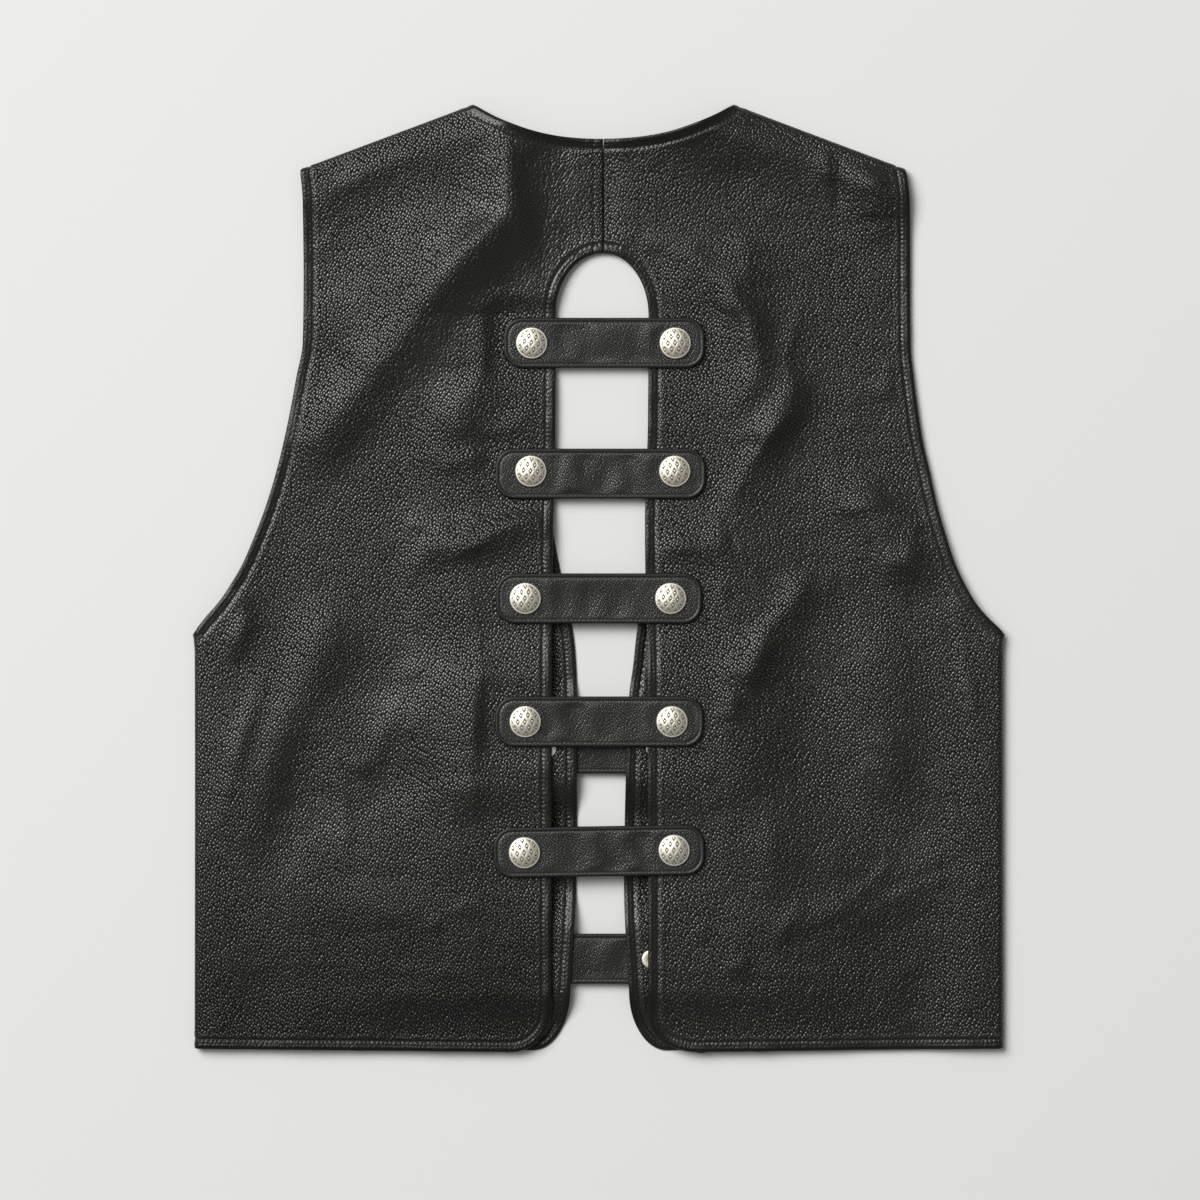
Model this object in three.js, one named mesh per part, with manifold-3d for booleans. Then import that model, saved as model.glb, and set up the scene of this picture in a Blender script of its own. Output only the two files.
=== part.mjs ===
// Black leather vest laid flat on its front, so that its back looks up.
// Millimetres: X runs across the vest, +Y from the hem to the neck, +Z up from the table at z = 0.
// The back is open down the middle and five straps with domed studs bridge the slot.
import * as THREE from 'three';
import { mergeVertices } from 'three/addons/utils/BufferGeometryUtils.js';
import Module from 'manifold-3d';

const wasm = await Module();
wasm.setup();

// Walls and clearances
const LEATHER = 1.6;
const STRAP_THICK = 2.4;
const GAP = 0.3;
const FOLD_RADIUS = 3.7;
const LIE = 3.9; // upper side of a back panel that lies on a front panel
const LIE_ON_TABLE = 2.3; // the same where the front is cut away under it
const NECK_DROP = { start: 2, end: 16 }; // inside the front's V the back comes down over this strip

// Studs: a domed cap, a post through the leather and a flat washer inside
const CAP_RADIUS = 10.4;
const CAP_HEIGHT = 4;
const CAP_RIM = 0.7;
const POST_RADIUS = 2;
const POST_HOLE_RADIUS = 2.4;
const WASHER_RADIUS = 6;
const WASHER_THICK = 0.8;
const POST_LENGTH = GAP + STRAP_THICK + GAP + LEATHER + GAP;
const STUD_SEGMENTS = 16;
const DOME = [
  { radiusShare: 0, heightShare: 1 },
  { radiusShare: 0.45, heightShare: 0.89 },
  { radiusShare: 0.8, heightShare: 0.55 },
];
const CAP_FOOT_SHARE = 0.97; // the cap turns in a little at its foot
const DRILL = { length: 60, segments: 12 }; // long enough for leather at any height

// Straps
const STRAP_WIDTH = 33;
const STRAP_CORNER = 12.5;
const STRAP_CORNER_SEGMENTS = 4;
const FRONT_STRAP_LENGTH = 110;
const FRONT_STUD_SPREAD = 35.4;

// Plan of the back, the left half first
const BACK_SEAM_X = 2.95;
const NECK_CENTRE_Y = 288;
const NECKLINE_POWER = 2.45; // how late the neckline turns up to the neck point
const ARCH_APEX_Y = 213.2;
const ARCH_RISE = 41;
const HEM_SLOT_Y = -311;
const HEM_SIDE_Y = -308.8;
const ARMPIT_Y = -36.5;
const ARMPIT_ROW_Y = -31.8; // height at the slot of the row that ends in the armpit
const TOP_BEND_Y = 185; // rows above this one bend up with the neckline
const NECK_POINT = {
  left: { x: -82, y: 311 },
  right: { x: 87.9, y: 311 },
};
const BACK_HEM_CORNER = {
  left: { across: 27, up: 29 },
  right: { across: 33, up: 23 },
};
const FRONT_HEM_CORNER = { across: 24, up: 38 };
const FRONT_HEM_RISE = 0.8; // the front stays hidden under the back at the hem and the armholes
const FRONT_ARMHOLE_INSET = 2;
const INSET_FADE = { armpit: 25, tip: 12 }; // the inset fades over these heights

// Outer edge from the shoulder tip through the armpit to the hem
const OUTER_EDGE = [
  { y: 268.2, left: -196.2, right: 201.6 },
  { y: 248, left: -194.4, right: 204 },
  { y: 153.5, left: -194.6, right: 204.7 },
  { y: 132.5, left: -198.6, right: 206.6 },
  { y: 111.5, left: -202.4, right: 209.3 },
  { y: 90.5, left: -206.8, right: 212.5 },
  { y: 69.5, left: -211.9, right: 217.2 },
  { y: 48.5, left: -218.2, right: 221.9 },
  { y: 27.6, left: -226, right: 227.8 },
  { y: 6.6, left: -235.2, right: 235 },
  { y: -14.4, left: -248.4, right: 246 },
  { y: -24.9, left: -257.4, right: 254.4 },
  { y: ARMPIT_Y, left: -266.6, right: 266.6 },
  { y: -48, left: -265.4, right: 265.4 },
  { y: -320, left: -265.4, right: 265.4 },
];

// Inner edge of each back half below the arch
const SLOT_EDGE = [
  { y: ARCH_APEX_Y, left: -28.5, right: 32.6 },
  { y: 101, left: -28.5, right: 32.1 },
  { y: 38, left: -29.8, right: 30.2 },
  { y: -60, left: -30.8, right: 31.4 },
  { y: -320, left: -30.8, right: 32.4 },
];

// Inner edge of each front half: the V neck and then the straight front edge
const FRONT_EDGE = [
  { y: NECK_POINT.left.y, left: NECK_POINT.left.x, right: NECK_POINT.right.x },
  { y: 280, left: -66, right: 71.5 },
  { y: 240, left: -56, right: 61.5 },
  { y: 163, left: -46.5, right: 51.5 },
  { y: 84, left: -36.5, right: 42.5 },
  { y: 31.5, left: -30.2, right: 36 },
  { y: -8, left: -22.8, right: 30 },
  { y: -35.4, left: -17.1, right: 24.9 },
  { y: -56.4, left: -15.1, right: 22.6 },
  { y: -80, left: -14.4, right: 19.6 },
  { y: -150, left: -14.4, right: 17.1 },
  { y: -213, left: -15.2, right: 16.6 },
  { y: -270, left: -18.6, right: 19.6 },
  { y: -320, left: -19.6, right: 20.6 },
];

// Straps over the slot, from the arch down: ends, middle, stud centres and the back's height under them
const BACK_STRAPS = [
  { left: -62.5, right: 69.5, y: 154.2, tilt: 0, studLeft: -44.1, studRight: 50, studY: 154, seat: 5.2 },
  { left: -68, right: 70.1, y: 68.4, tilt: 0, studLeft: -44.6, studRight: 49.7, studY: 70, seat: 5.8 },
  { left: -67.6, right: 67.6, y: -13.4, tilt: 0, studLeft: -48.2, studRight: 47, studY: -13.4, seat: 8 },
  { left: -68, right: 68.6, y: -94, tilt: 0, studLeft: -48.2, studRight: 47.8, studY: -94, seat: 11.8 },
  { left: -69, right: 69.3, y: -179, tilt: 0.9, studLeft: -48.7, studRight: 49.2, studY: -179, seat: 10.6 },
];

// Straps that hold the two front halves together, under them
const FRONT_STRAPS = [
  { x: 1.5, y: -111.8 },
  { x: -1.3, y: -249.8 },
];

// Level stretches of the back along the slot: under each strap and over each front strap
const LEVELS = [
  { low: 135.5, high: 172.2, z: BACK_STRAPS[0].seat },
  { low: 50, high: 88, z: BACK_STRAPS[1].seat },
  { low: ARMPIT_ROW_Y, high: 5, z: BACK_STRAPS[2].seat },
  { low: -131, high: -75.5, z: BACK_STRAPS[3].seat },
  { low: -198, high: -161, z: BACK_STRAPS[4].seat },
  { low: -269, high: -232, z: BACK_STRAPS[3].seat },
];
const LEVEL_REACH = 84; // level from the slot out to here
const LEVEL_END = 142; // and back at the panel's own height here
const SLOT_FOOT_Y = -303;
const NAPE_Y = 236;

// Rise of the front over its straps
const RISE_MARGIN_X = 16;
const RISE_MARGIN_Y = 2;
const RISE_REACH = 28;

// How far from the side fold and the shoulder seam a back panel comes down on the front
const SIDE_SETTLE = 62;
const SHOULDER_SETTLE = 46;

// Largest folds of the back: a soft ridge along each line, with its height and half width
const FOLDS = [
  { x0: -40, y0: 250, x1: -100, y1: 196, height: 5.5, width: 22 },
  { x0: -100, y0: 196, x1: -182, y1: 92, height: 8, width: 24 },
  { x0: -112, y0: 236, x1: -182, y1: 160, height: 3.5, width: 15 },
  { x0: -75, y0: 165, x1: -96, y1: 86, height: 6, width: 17 },
  { x0: -46, y0: 38, x1: -104, y1: 18, height: 4, width: 13 },
  { x0: -112, y0: -94, x1: -90, y1: -122, height: 5, width: 18 },
  { x0: -180, y0: -38, x1: -238, y1: -165, height: 5, width: 18 },
  { x0: -176, y0: -100, x1: -136, y1: -208, height: 3.5, width: 14 },
  { x0: 162, y0: 272, x1: 168, y1: 238, height: 7, width: 13 },
  { x0: 72, y0: 176, x1: 92, y1: 130, height: 4.5, width: 13 },
  { x0: 124, y0: 116, x1: 86, y1: 60, height: 7, width: 14 },
  { x0: 172, y0: 50, x1: 202, y1: 14, height: 6, width: 18 },
  { x0: 132, y0: -8, x1: 98, y1: -62, height: 5, width: 13 },
  { x0: 186, y0: -56, x1: 190, y1: -122, height: 4, width: 22 },
  { x0: 218, y0: -196, x1: 96, y1: -250, height: 4, width: 14 },
];

// Grid of a panel: cells between the slot and the neck point, from there to the side fold, and in the fold
const CELLS_TO_NECK = 7;
const CELLS_TO_SIDE = 6;
const FRONT_CELLS = 10;
const FOLD_ANGLES = [90, 60, 30, 0];
const CORNER_ANGLES = [0, 30, 58, 90];
const ARCH_ANGLES = [0, 28, 50, 70, 90];

// Heights of the grid rows at the slot, besides those at straps, corners, arch and folds
const BACK_ROWS = [-215, -146, -53.6, 28, 112, 227, 244, 261, 275];
const FRONT_ROWS = [-196, -172, -56, ARMPIT_ROW_Y, -8, 18, 44, 70, 96, 122, 150, 185, 220, 255, 285, 300];
const FRONT_STRAP_ROWS = [-34, -18.5, 18.5, 34]; // from each front strap's middle
const SHOULDER_SLANT = 1.07; // height along the row for a distance square to the shoulder seam
const SAME_ROW = 1; // rows nearer than this are one

function clamp(value, low, high) {
  return Math.min(high, Math.max(low, value));
}

function mix(a, b, t) {
  return a + (b - a) * t;
}

// 0 below 0, 1 above 1, with a level start and end
function ease(t) {
  const s = clamp(t, 0, 1);
  return s * s * (3 - 2 * s);
}

// Smooth value of a column of a table whose rows fall in y
function readColumn(table, side, y) {
  const last = table.length - 1;
  let row = 0;
  while (row < last - 1 && y < table[row + 1].y) row += 1;
  const slope = (i) => {
    const before = table[Math.max(i - 1, 0)];
    const after = table[Math.min(i + 1, last)];
    return (after[side] - before[side]) / (after.y - before.y);
  };
  const a = table[row];
  const b = table[row + 1];
  const span = b.y - a.y;
  const t = clamp((y - a.y) / span, 0, 1);
  const corner = (i) => table[i].y === ARMPIT_Y;
  const chord = (b[side] - a[side]) / span;
  const slopeA = corner(row) ? chord : slope(row);
  const slopeB = corner(row + 1) ? chord : slope(row + 1);
  const t2 = t * t;
  const t3 = t2 * t;
  return (2 * t3 - 3 * t2 + 1) * a[side] + (t3 - 2 * t2 + t) * span * slopeA
    + (3 * t2 - 2 * t3) * b[side] + (t3 - t2) * span * slopeB;
}

// How far a rounded hem corner draws an edge back at this height
function cornerInset(corner, y, hemY) {
  const drop = clamp((hemY + corner.up - y) / corner.up, 0, 1);
  return corner.across * (1 - Math.sqrt(1 - drop * drop));
}

// How far the arch over the slot draws the edge towards the seam at this height
function archInset(side, y) {
  const springY = ARCH_APEX_Y - ARCH_RISE;
  const reach = Math.abs(readColumn(SLOT_EDGE, side, springY) - BACK_SEAM_X) - GAP / 2;
  const climb = clamp((y - springY) / ARCH_RISE, 0, 1);
  return reach * (1 - Math.sqrt(1 - climb * climb));
}

function shoulderTip(side) {
  return { x: OUTER_EDGE[0][side], y: OUTER_EDGE[0].y };
}

function outward(side) {
  return side === 'left' ? -1 : 1;
}

function backInnerEdge(side, y) {
  const edge = readColumn(SLOT_EDGE, side, Math.min(y, ARCH_APEX_Y - ARCH_RISE));
  const corner = cornerInset(BACK_HEM_CORNER[side], y, HEM_SLOT_Y);
  return edge + outward(side) * (corner - archInset(side, y));
}

function frontInnerEdge(side, y) {
  const corner = cornerInset(FRONT_HEM_CORNER, y, HEM_SLOT_Y + FRONT_HEM_RISE);
  return readColumn(FRONT_EDGE, side, y) + outward(side) * corner;
}

// Height of the side fold's or shoulder fold's quarter round at a distance from its outermost line
function foldRound(distance) {
  const d = Math.min(Math.abs(distance), FOLD_RADIUS);
  return Math.sign(distance) * Math.sqrt(FOLD_RADIUS ** 2 - (FOLD_RADIUS - d) ** 2);
}

function distanceToSide(side, x, y) {
  return Math.abs(readColumn(OUTER_EDGE, side, Math.min(y, ARMPIT_Y))) - Math.abs(x);
}

function distanceToShoulder(side, x, y) {
  const neck = NECK_POINT[side];
  const tip = shoulderTip(side);
  const length = Math.hypot(tip.x - neck.x, tip.y - neck.y);
  const cross = (tip.x - neck.x) * (y - neck.y) - (tip.y - neck.y) * (x - neck.x);
  return -outward(side) * cross / length;
}

function distanceToLine(line, x, y) {
  const dx = line.x1 - line.x0;
  const dy = line.y1 - line.y0;
  const t = clamp(((x - line.x0) * dx + (y - line.y0) * dy) / (dx * dx + dy * dy), 0, 1);
  return Math.hypot(x - line.x0 - t * dx, y - line.y0 - t * dy);
}

// How much the front stands up over its own straps, from 0 to 1
function frontRise(x, y) {
  let rise = 0;
  for (const strap of FRONT_STRAPS) {
    const dx = Math.max(Math.abs(x - strap.x) - FRONT_STRAP_LENGTH / 2 - RISE_MARGIN_X, 0);
    const dy = Math.max(Math.abs(y - strap.y) - STRAP_WIDTH / 2 - RISE_MARGIN_Y, 0);
    rise = Math.max(rise, ease(1 - Math.hypot(dx, dy) / RISE_REACH));
  }
  return rise;
}

// Height of the back along the slot: level at each strap, eased and folded between them
function slotHeight(y, free, folds) {
  const stops = [
    { low: NAPE_Y, high: NAPE_Y, z: free + folds },
    ...LEVELS,
    { low: SLOT_FOOT_Y, high: SLOT_FOOT_Y, z: free + folds },
  ];
  let height = free + folds;
  stops.forEach((stop, i) => {
    if (y <= stop.high && y >= stop.low) height = stop.z;
    const next = stops[i + 1];
    if (next && y < stop.low && y > next.high) {
      const t = (stop.low - y) / (stop.low - next.high);
      height = mix(stop.z, next.z, ease(t)) + folds * 4 * t * (1 - t);
    }
  });
  return height;
}

// Upper side of a back panel
function backHeight(side, x, y) {
  const beyondFront = Math.abs(frontInnerEdge(side, y)) - Math.abs(x);
  const overFront = ease((NECK_DROP.end - beyondFront) / (NECK_DROP.end - NECK_DROP.start));
  const free = mix(LIE_ON_TABLE, LIE, overFront);
  const beside = ease((LEVEL_END - Math.abs(x)) / (LEVEL_END - LEVEL_REACH));
  let folds = 0;
  for (const fold of FOLDS) {
    folds += fold.height * Math.exp(-((distanceToLine(fold, x, y) / fold.width) ** 2));
  }
  const lying = mix(free + folds, slotHeight(y, free, folds), beside);
  const fromSide = distanceToSide(side, x, y);
  const fromShoulder = distanceToShoulder(side, x, y);
  const settled = ease((fromSide - FOLD_RADIUS) / SIDE_SETTLE)
    * ease((fromShoulder - FOLD_RADIUS) / SHOULDER_SETTLE);
  const seam = FOLD_RADIUS + GAP;
  const round = Math.min(foldRound(fromSide), foldRound(fromShoulder));
  return seam + round + (lying - seam - FOLD_RADIUS) * settled;
}

// Lower side of a front panel, which lies on the table but for its straps
function frontHeight(side, x, y) {
  const round = Math.min(foldRound(distanceToSide(side, x, y)), foldRound(distanceToShoulder(side, x, y)));
  const strapTop = CAP_HEIGHT + GAP + STRAP_THICK + GAP;
  return FOLD_RADIUS - round + strapTop * frontRise(x, y);
}

// Closed solid from a grid of plan points: the visible side follows height(x, y),
// the other side lies a wall's thickness behind it along the surface normal
function panelSolid(grid, height, looksUp) {
  const step = 0.01;
  const facing = looksUp ? 1 : -1;
  const rows = grid.length;
  const columns = grid[0].length;
  const positions = [];
  const behind = [];
  for (const row of grid) {
    for (const { x, y } of row) {
      const slopeX = (height(x + step, y) - height(x - step, y)) / (2 * step);
      const slopeY = (height(x, y + step) - height(x, y - step)) / (2 * step);
      const normal = new THREE.Vector3(-slopeX, -slopeY, 1).normalize().multiplyScalar(facing * LEATHER);
      const z = height(x, y);
      positions.push(x, y, z);
      behind.push(x - normal.x, y - normal.y, z - normal.z);
    }
  }
  const first = grid[0];
  const across = (first[1].x - first[0].x) * facing;
  const triangles = [];
  const addQuad = (a, b, c, d) => {
    if (across > 0) triangles.push(a, b, c, a, c, d);
    else triangles.push(a, c, b, a, d, c);
  };
  const back = rows * columns;
  const at = (i, j) => i * columns + j;
  for (let i = 0; i < rows - 1; i += 1) {
    for (let j = 0; j < columns - 1; j += 1) {
      addQuad(at(i, j), at(i, j + 1), at(i + 1, j + 1), at(i + 1, j));
      addQuad(back + at(i, j), back + at(i + 1, j), back + at(i + 1, j + 1), back + at(i, j + 1));
    }
  }
  const rim = [];
  for (let j = 0; j < columns; j += 1) rim.push(at(0, j));
  for (let i = 1; i < rows; i += 1) rim.push(at(i, columns - 1));
  for (let j = columns - 2; j >= 0; j -= 1) rim.push(at(rows - 1, j));
  for (let i = rows - 2; i > 0; i -= 1) rim.push(at(i, 0));
  rim.forEach((corner, k) => {
    const next = rim[(k + 1) % rim.length];
    addQuad(next, corner, back + corner, back + next);
  });
  const geometry = new THREE.BufferGeometry();
  geometry.setAttribute('position', new THREE.Float32BufferAttribute([...positions, ...behind], 3));
  geometry.setIndex(triangles);
  return geometry;
}

function toManifold(geometry) {
  const bare = geometry.clone();
  bare.deleteAttribute('normal');
  bare.deleteAttribute('uv');
  const merged = mergeVertices(bare, 1e-4);
  return new wasm.Manifold(new wasm.Mesh({
    numProp: 3,
    vertProperties: new Float32Array(merged.attributes.position.array),
    triVerts: new Uint32Array(merged.index.array),
  }));
}

function toGeometry(manifold) {
  const mesh = manifold.getMesh();
  const geometry = new THREE.BufferGeometry();
  geometry.setAttribute('position', new THREE.BufferAttribute(new Float32Array(mesh.vertProperties), 3));
  geometry.setIndex(new THREE.BufferAttribute(new Uint32Array(mesh.triVerts), 1));
  return geometry;
}

// Stud holes through a panel
function punch(geometry, places) {
  let solid = toManifold(geometry);
  for (const { x, y } of places) {
    const { length, segments } = DRILL;
    const drill = new THREE.CylinderGeometry(POST_HOLE_RADIUS, POST_HOLE_RADIUS, length, segments);
    drill.rotateX(Math.PI / 2);
    drill.translate(x, y, 0);
    solid = solid.subtract(toManifold(drill));
  }
  return toGeometry(solid);
}

// Distances from a fold's outermost line at which its quarter round is sampled
function foldDistances() {
  return FOLD_ANGLES.map((angle) => FOLD_RADIUS * (1 - Math.cos(THREE.MathUtils.degToRad(angle))));
}

function roundHeights(hemY, rise) {
  return CORNER_ANGLES.map((angle) => hemY + rise * (1 - Math.cos(THREE.MathUtils.degToRad(angle))));
}

function archHeights() {
  const springY = ARCH_APEX_Y - ARCH_RISE;
  return ARCH_ANGLES.map((angle) => springY + ARCH_RISE * Math.sin(THREE.MathUtils.degToRad(angle)));
}

// Width of a panel halfway up its straight side
function panelWidth(side, innerEdge) {
  const y = (ARMPIT_Y + HEM_SIDE_Y) / 2;
  return Math.abs(readColumn(OUTER_EDGE, side, y)) - Math.abs(readColumn(innerEdge, side, y));
}

function seamX(side) {
  return BACK_SEAM_X + outward(side) * GAP / 2;
}

// Share of the top edge of a back half that is neckline
function neckShare(side) {
  return (NECK_POINT[side].x - seamX(side)) / (shoulderTip(side).x - seamX(side));
}

function columnShares(side, width) {
  const neck = neckShare(side);
  const foldShares = foldDistances().map((d) => 1 - d / width);
  const shares = [];
  for (let i = 0; i < CELLS_TO_NECK; i += 1) shares.push(neck * i / CELLS_TO_NECK);
  for (let i = 0; i < CELLS_TO_SIDE; i += 1) shares.push(mix(neck, foldShares[0], i / CELLS_TO_SIDE));
  return [...shares, ...foldShares];
}

// Height at the outer edge of the row that starts at y on the inner edge
function outerHeight(y, hemInner, topInner, hemOuter, tipY) {
  if (y < ARMPIT_ROW_Y) return mix(hemOuter, ARMPIT_Y, (y - hemInner) / (ARMPIT_ROW_Y - hemInner));
  return mix(ARMPIT_Y, tipY, (y - ARMPIT_ROW_Y) / (topInner - ARMPIT_ROW_Y));
}

// Points of the neckline and shoulder, measured up from a straight line between their ends
function topBulge(side, share) {
  const neck = NECK_POINT[side];
  const tip = shoulderTip(side);
  const turn = neckShare(side);
  const straight = mix(NECK_CENTRE_Y, tip.y, share);
  if (share > turn) return mix(neck.y, tip.y, (share - turn) / (1 - turn)) - straight;
  return mix(NECK_CENTRE_Y, neck.y, (share / turn) ** NECKLINE_POWER) - straight;
}

function backGrid(side) {
  const tip = shoulderTip(side);
  const hemCorner = roundHeights(HEM_SLOT_Y, BACK_HEM_CORNER[side].up);
  const strapRows = LEVELS.flatMap(({ low, high }) => [low, (low + high) / 2, high]);
  const drawn = [...hemCorner, ...strapRows, ...BACK_ROWS, ...archHeights()];
  const single = drawn.filter((y, i) => !drawn.slice(0, i).some((other) => Math.abs(other - y) < SAME_ROW));
  const top = foldDistances().map((d) => NECK_CENTRE_Y - d * SHOULDER_SLANT);
  const rows = [...single, ...top].sort((a, b) => a - b);
  const width = panelWidth(side, SLOT_EDGE);
  return rows.map((y) => {
    const outerY = outerHeight(y, HEM_SLOT_Y, NECK_CENTRE_Y, HEM_SIDE_Y, tip.y);
    const innerX = y > ARCH_APEX_Y ? seamX(side) : backInnerEdge(side, y);
    const outerX = readColumn(OUTER_EDGE, side, outerY);
    const bend = clamp((y - TOP_BEND_Y) / (NECK_CENTRE_Y - TOP_BEND_Y), 0, 1);
    return columnShares(side, width).map((share) => ({
      x: mix(innerX, outerX, share),
      y: mix(y, outerY, share) + bend * topBulge(side, share),
    }));
  });
}

function frontGrid(side) {
  const neck = NECK_POINT[side];
  const tip = shoulderTip(side);
  const hemInner = HEM_SLOT_Y + FRONT_HEM_RISE;
  const hemOuter = HEM_SIDE_Y + FRONT_HEM_RISE;
  const hemCorner = roundHeights(hemInner, FRONT_HEM_CORNER.up).slice(0, -1);
  const strapRows = FRONT_STRAPS.flatMap(({ y }) => FRONT_STRAP_ROWS.map((offset) => y + offset));
  const top = foldDistances().map((d) => neck.y - d * SHOULDER_SLANT);
  const rows = [...hemCorner, ...strapRows, ...FRONT_ROWS, ...top].sort((a, b) => a - b);
  const width = panelWidth(side, FRONT_EDGE);
  const foldShares = foldDistances().map((d) => 1 - d / width);
  const shares = [];
  for (let i = 0; i < FRONT_CELLS; i += 1) shares.push(foldShares[0] * i / FRONT_CELLS);
  return rows.map((y) => {
    const outerY = outerHeight(y, hemInner, neck.y, hemOuter, tip.y);
    const fade = ease((outerY - ARMPIT_Y) / INSET_FADE.armpit) * ease((tip.y - outerY) / INSET_FADE.tip);
    const inset = FRONT_ARMHOLE_INSET * fade;
    const outerX = readColumn(OUTER_EDGE, side, outerY) - outward(side) * inset;
    return [...shares, ...foldShares].map((share) => ({
      x: mix(frontInnerEdge(side, y), outerX, share),
      y: mix(y, outerY, share),
    }));
  });
}

function backPanel(side) {
  const solid = panelSolid(backGrid(side), (x, y) => backHeight(side, x, y), true);
  return punch(solid, backStuds().filter((stud) => stud.side === side));
}

function frontPanel(side) {
  const solid = panelSolid(frontGrid(side), (x, y) => frontHeight(side, x, y), false);
  return punch(solid, frontStuds().filter((stud) => stud.side === side));
}

// A strap with rounded ends and a hole for each stud, its underside at z = 0
function strapSolid(length, holes) {
  const halfLength = length / 2;
  const halfWidth = STRAP_WIDTH / 2;
  const shape = new THREE.Shape();
  const corners = [[1, -1, -90], [1, 1, 0], [-1, 1, 90], [-1, -1, 180]];
  for (const [signX, signY, start] of corners) {
    for (let i = 0; i <= STRAP_CORNER_SEGMENTS; i += 1) {
      const angle = THREE.MathUtils.degToRad(start + 90 * i / STRAP_CORNER_SEGMENTS);
      const x = signX * (halfLength - STRAP_CORNER) + STRAP_CORNER * Math.cos(angle);
      const y = signY * (halfWidth - STRAP_CORNER) + STRAP_CORNER * Math.sin(angle);
      if (shape.curves.length === 0 && i === 0 && signX === 1 && signY === -1) shape.moveTo(x, y);
      else shape.lineTo(x, y);
    }
  }
  shape.closePath();
  for (const { x, y } of holes) {
    const hole = new THREE.Path();
    hole.absarc(x, y, POST_HOLE_RADIUS, 0, 2 * Math.PI, true);
    shape.holes.push(hole);
  }
  return new THREE.ExtrudeGeometry(shape, { depth: STRAP_THICK, bevelEnabled: false, curveSegments: 6 });
}

// Stud turned about Z: the cap stands on z = 0 and the post and washer hang below it
function studSolid() {
  const profile = [
    ...DOME.map(({ radiusShare, heightShare }) => [CAP_RADIUS * radiusShare, CAP_HEIGHT * heightShare]),
    [CAP_RADIUS, CAP_RIM],
    [CAP_RADIUS * CAP_FOOT_SHARE, 0],
    [POST_RADIUS, 0],
    [POST_RADIUS, -POST_LENGTH],
    [WASHER_RADIUS, -POST_LENGTH],
    [WASHER_RADIUS, -POST_LENGTH - WASHER_THICK],
    [0, -POST_LENGTH - WASHER_THICK],
  ];
  const points = profile.map(([radius, height]) => new THREE.Vector2(radius, height)).reverse();
  const geometry = new THREE.LatheGeometry(points, STUD_SEGMENTS);
  geometry.rotateX(Math.PI / 2);
  return geometry;
}

function backStuds() {
  return BACK_STRAPS.flatMap((strap, i) => {
    const lean = Math.tan(THREE.MathUtils.degToRad(strap.tilt));
    const z = strap.seat + GAP + STRAP_THICK + GAP;
    return ['left', 'right'].map((side) => {
      const x = side === 'left' ? strap.studLeft : strap.studRight;
      return { name: `back_stud_${i + 1}_${side}`, side, x, y: strap.studY + lean * x, z, looksUp: true };
    });
  });
}

function frontStuds() {
  return FRONT_STRAPS.flatMap((strap, i) => ['left', 'right'].map((side) => ({
    name: `front_stud_${i + 1}_${side}`,
    side,
    x: strap.x + outward(side) * FRONT_STUD_SPREAD,
    y: strap.y,
    z: CAP_HEIGHT,
    looksUp: false,
  })));
}

const leather = new THREE.MeshStandardMaterial({ color: '#1b1c1a', roughness: 0.42, metalness: 0 });
const strapLeather = new THREE.MeshStandardMaterial({ color: '#20211f', roughness: 0.45, metalness: 0 });
const nickel = new THREE.MeshStandardMaterial({ color: '#d6d3c6', roughness: 0.25, metalness: 1 });

function addPiece(group, name, geometry, material) {
  const piece = new THREE.Mesh(geometry, material);
  piece.name = name;
  group.add(piece);
  return piece;
}

function addPanels(group) {
  for (const side of ['left', 'right']) {
    addPiece(group, `back_${side}`, backPanel(side), leather);
    addPiece(group, `front_${side}`, frontPanel(side), leather);
  }
}

function addStraps(group) {
  BACK_STRAPS.forEach((strap, i) => {
    const middle = (strap.left + strap.right) / 2;
    const holes = [strap.studLeft, strap.studRight].map((x) => ({ x: x - middle, y: strap.studY - strap.y }));
    const geometry = strapSolid(strap.right - strap.left, holes);
    const piece = addPiece(group, `back_strap_${i + 1}`, geometry, strapLeather);
    const tilt = THREE.MathUtils.degToRad(strap.tilt);
    piece.rotation.z = tilt;
    piece.position.set(middle, strap.y + Math.tan(tilt) * middle, strap.seat + GAP);
  });
  FRONT_STRAPS.forEach((strap, i) => {
    const holes = [-FRONT_STUD_SPREAD, FRONT_STUD_SPREAD].map((x) => ({ x, y: 0 }));
    const geometry = strapSolid(FRONT_STRAP_LENGTH, holes);
    const piece = addPiece(group, `front_strap_${i + 1}`, geometry, strapLeather);
    piece.position.set(strap.x, strap.y, CAP_HEIGHT + GAP);
  });
}

function addStuds(group) {
  for (const stud of [...backStuds(), ...frontStuds()]) {
    const piece = addPiece(group, stud.name, studSolid(), nickel);
    piece.position.set(stud.x, stud.y, stud.z);
    if (!stud.looksUp) piece.rotation.x = Math.PI;
  }
}

const vest = new THREE.Group();
addPanels(vest);
addStraps(vest);
addStuds(vest);

export default vest;
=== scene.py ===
"""Black leather vest laid flat on its front: panels, straps, studs, stitching and stage."""

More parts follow.
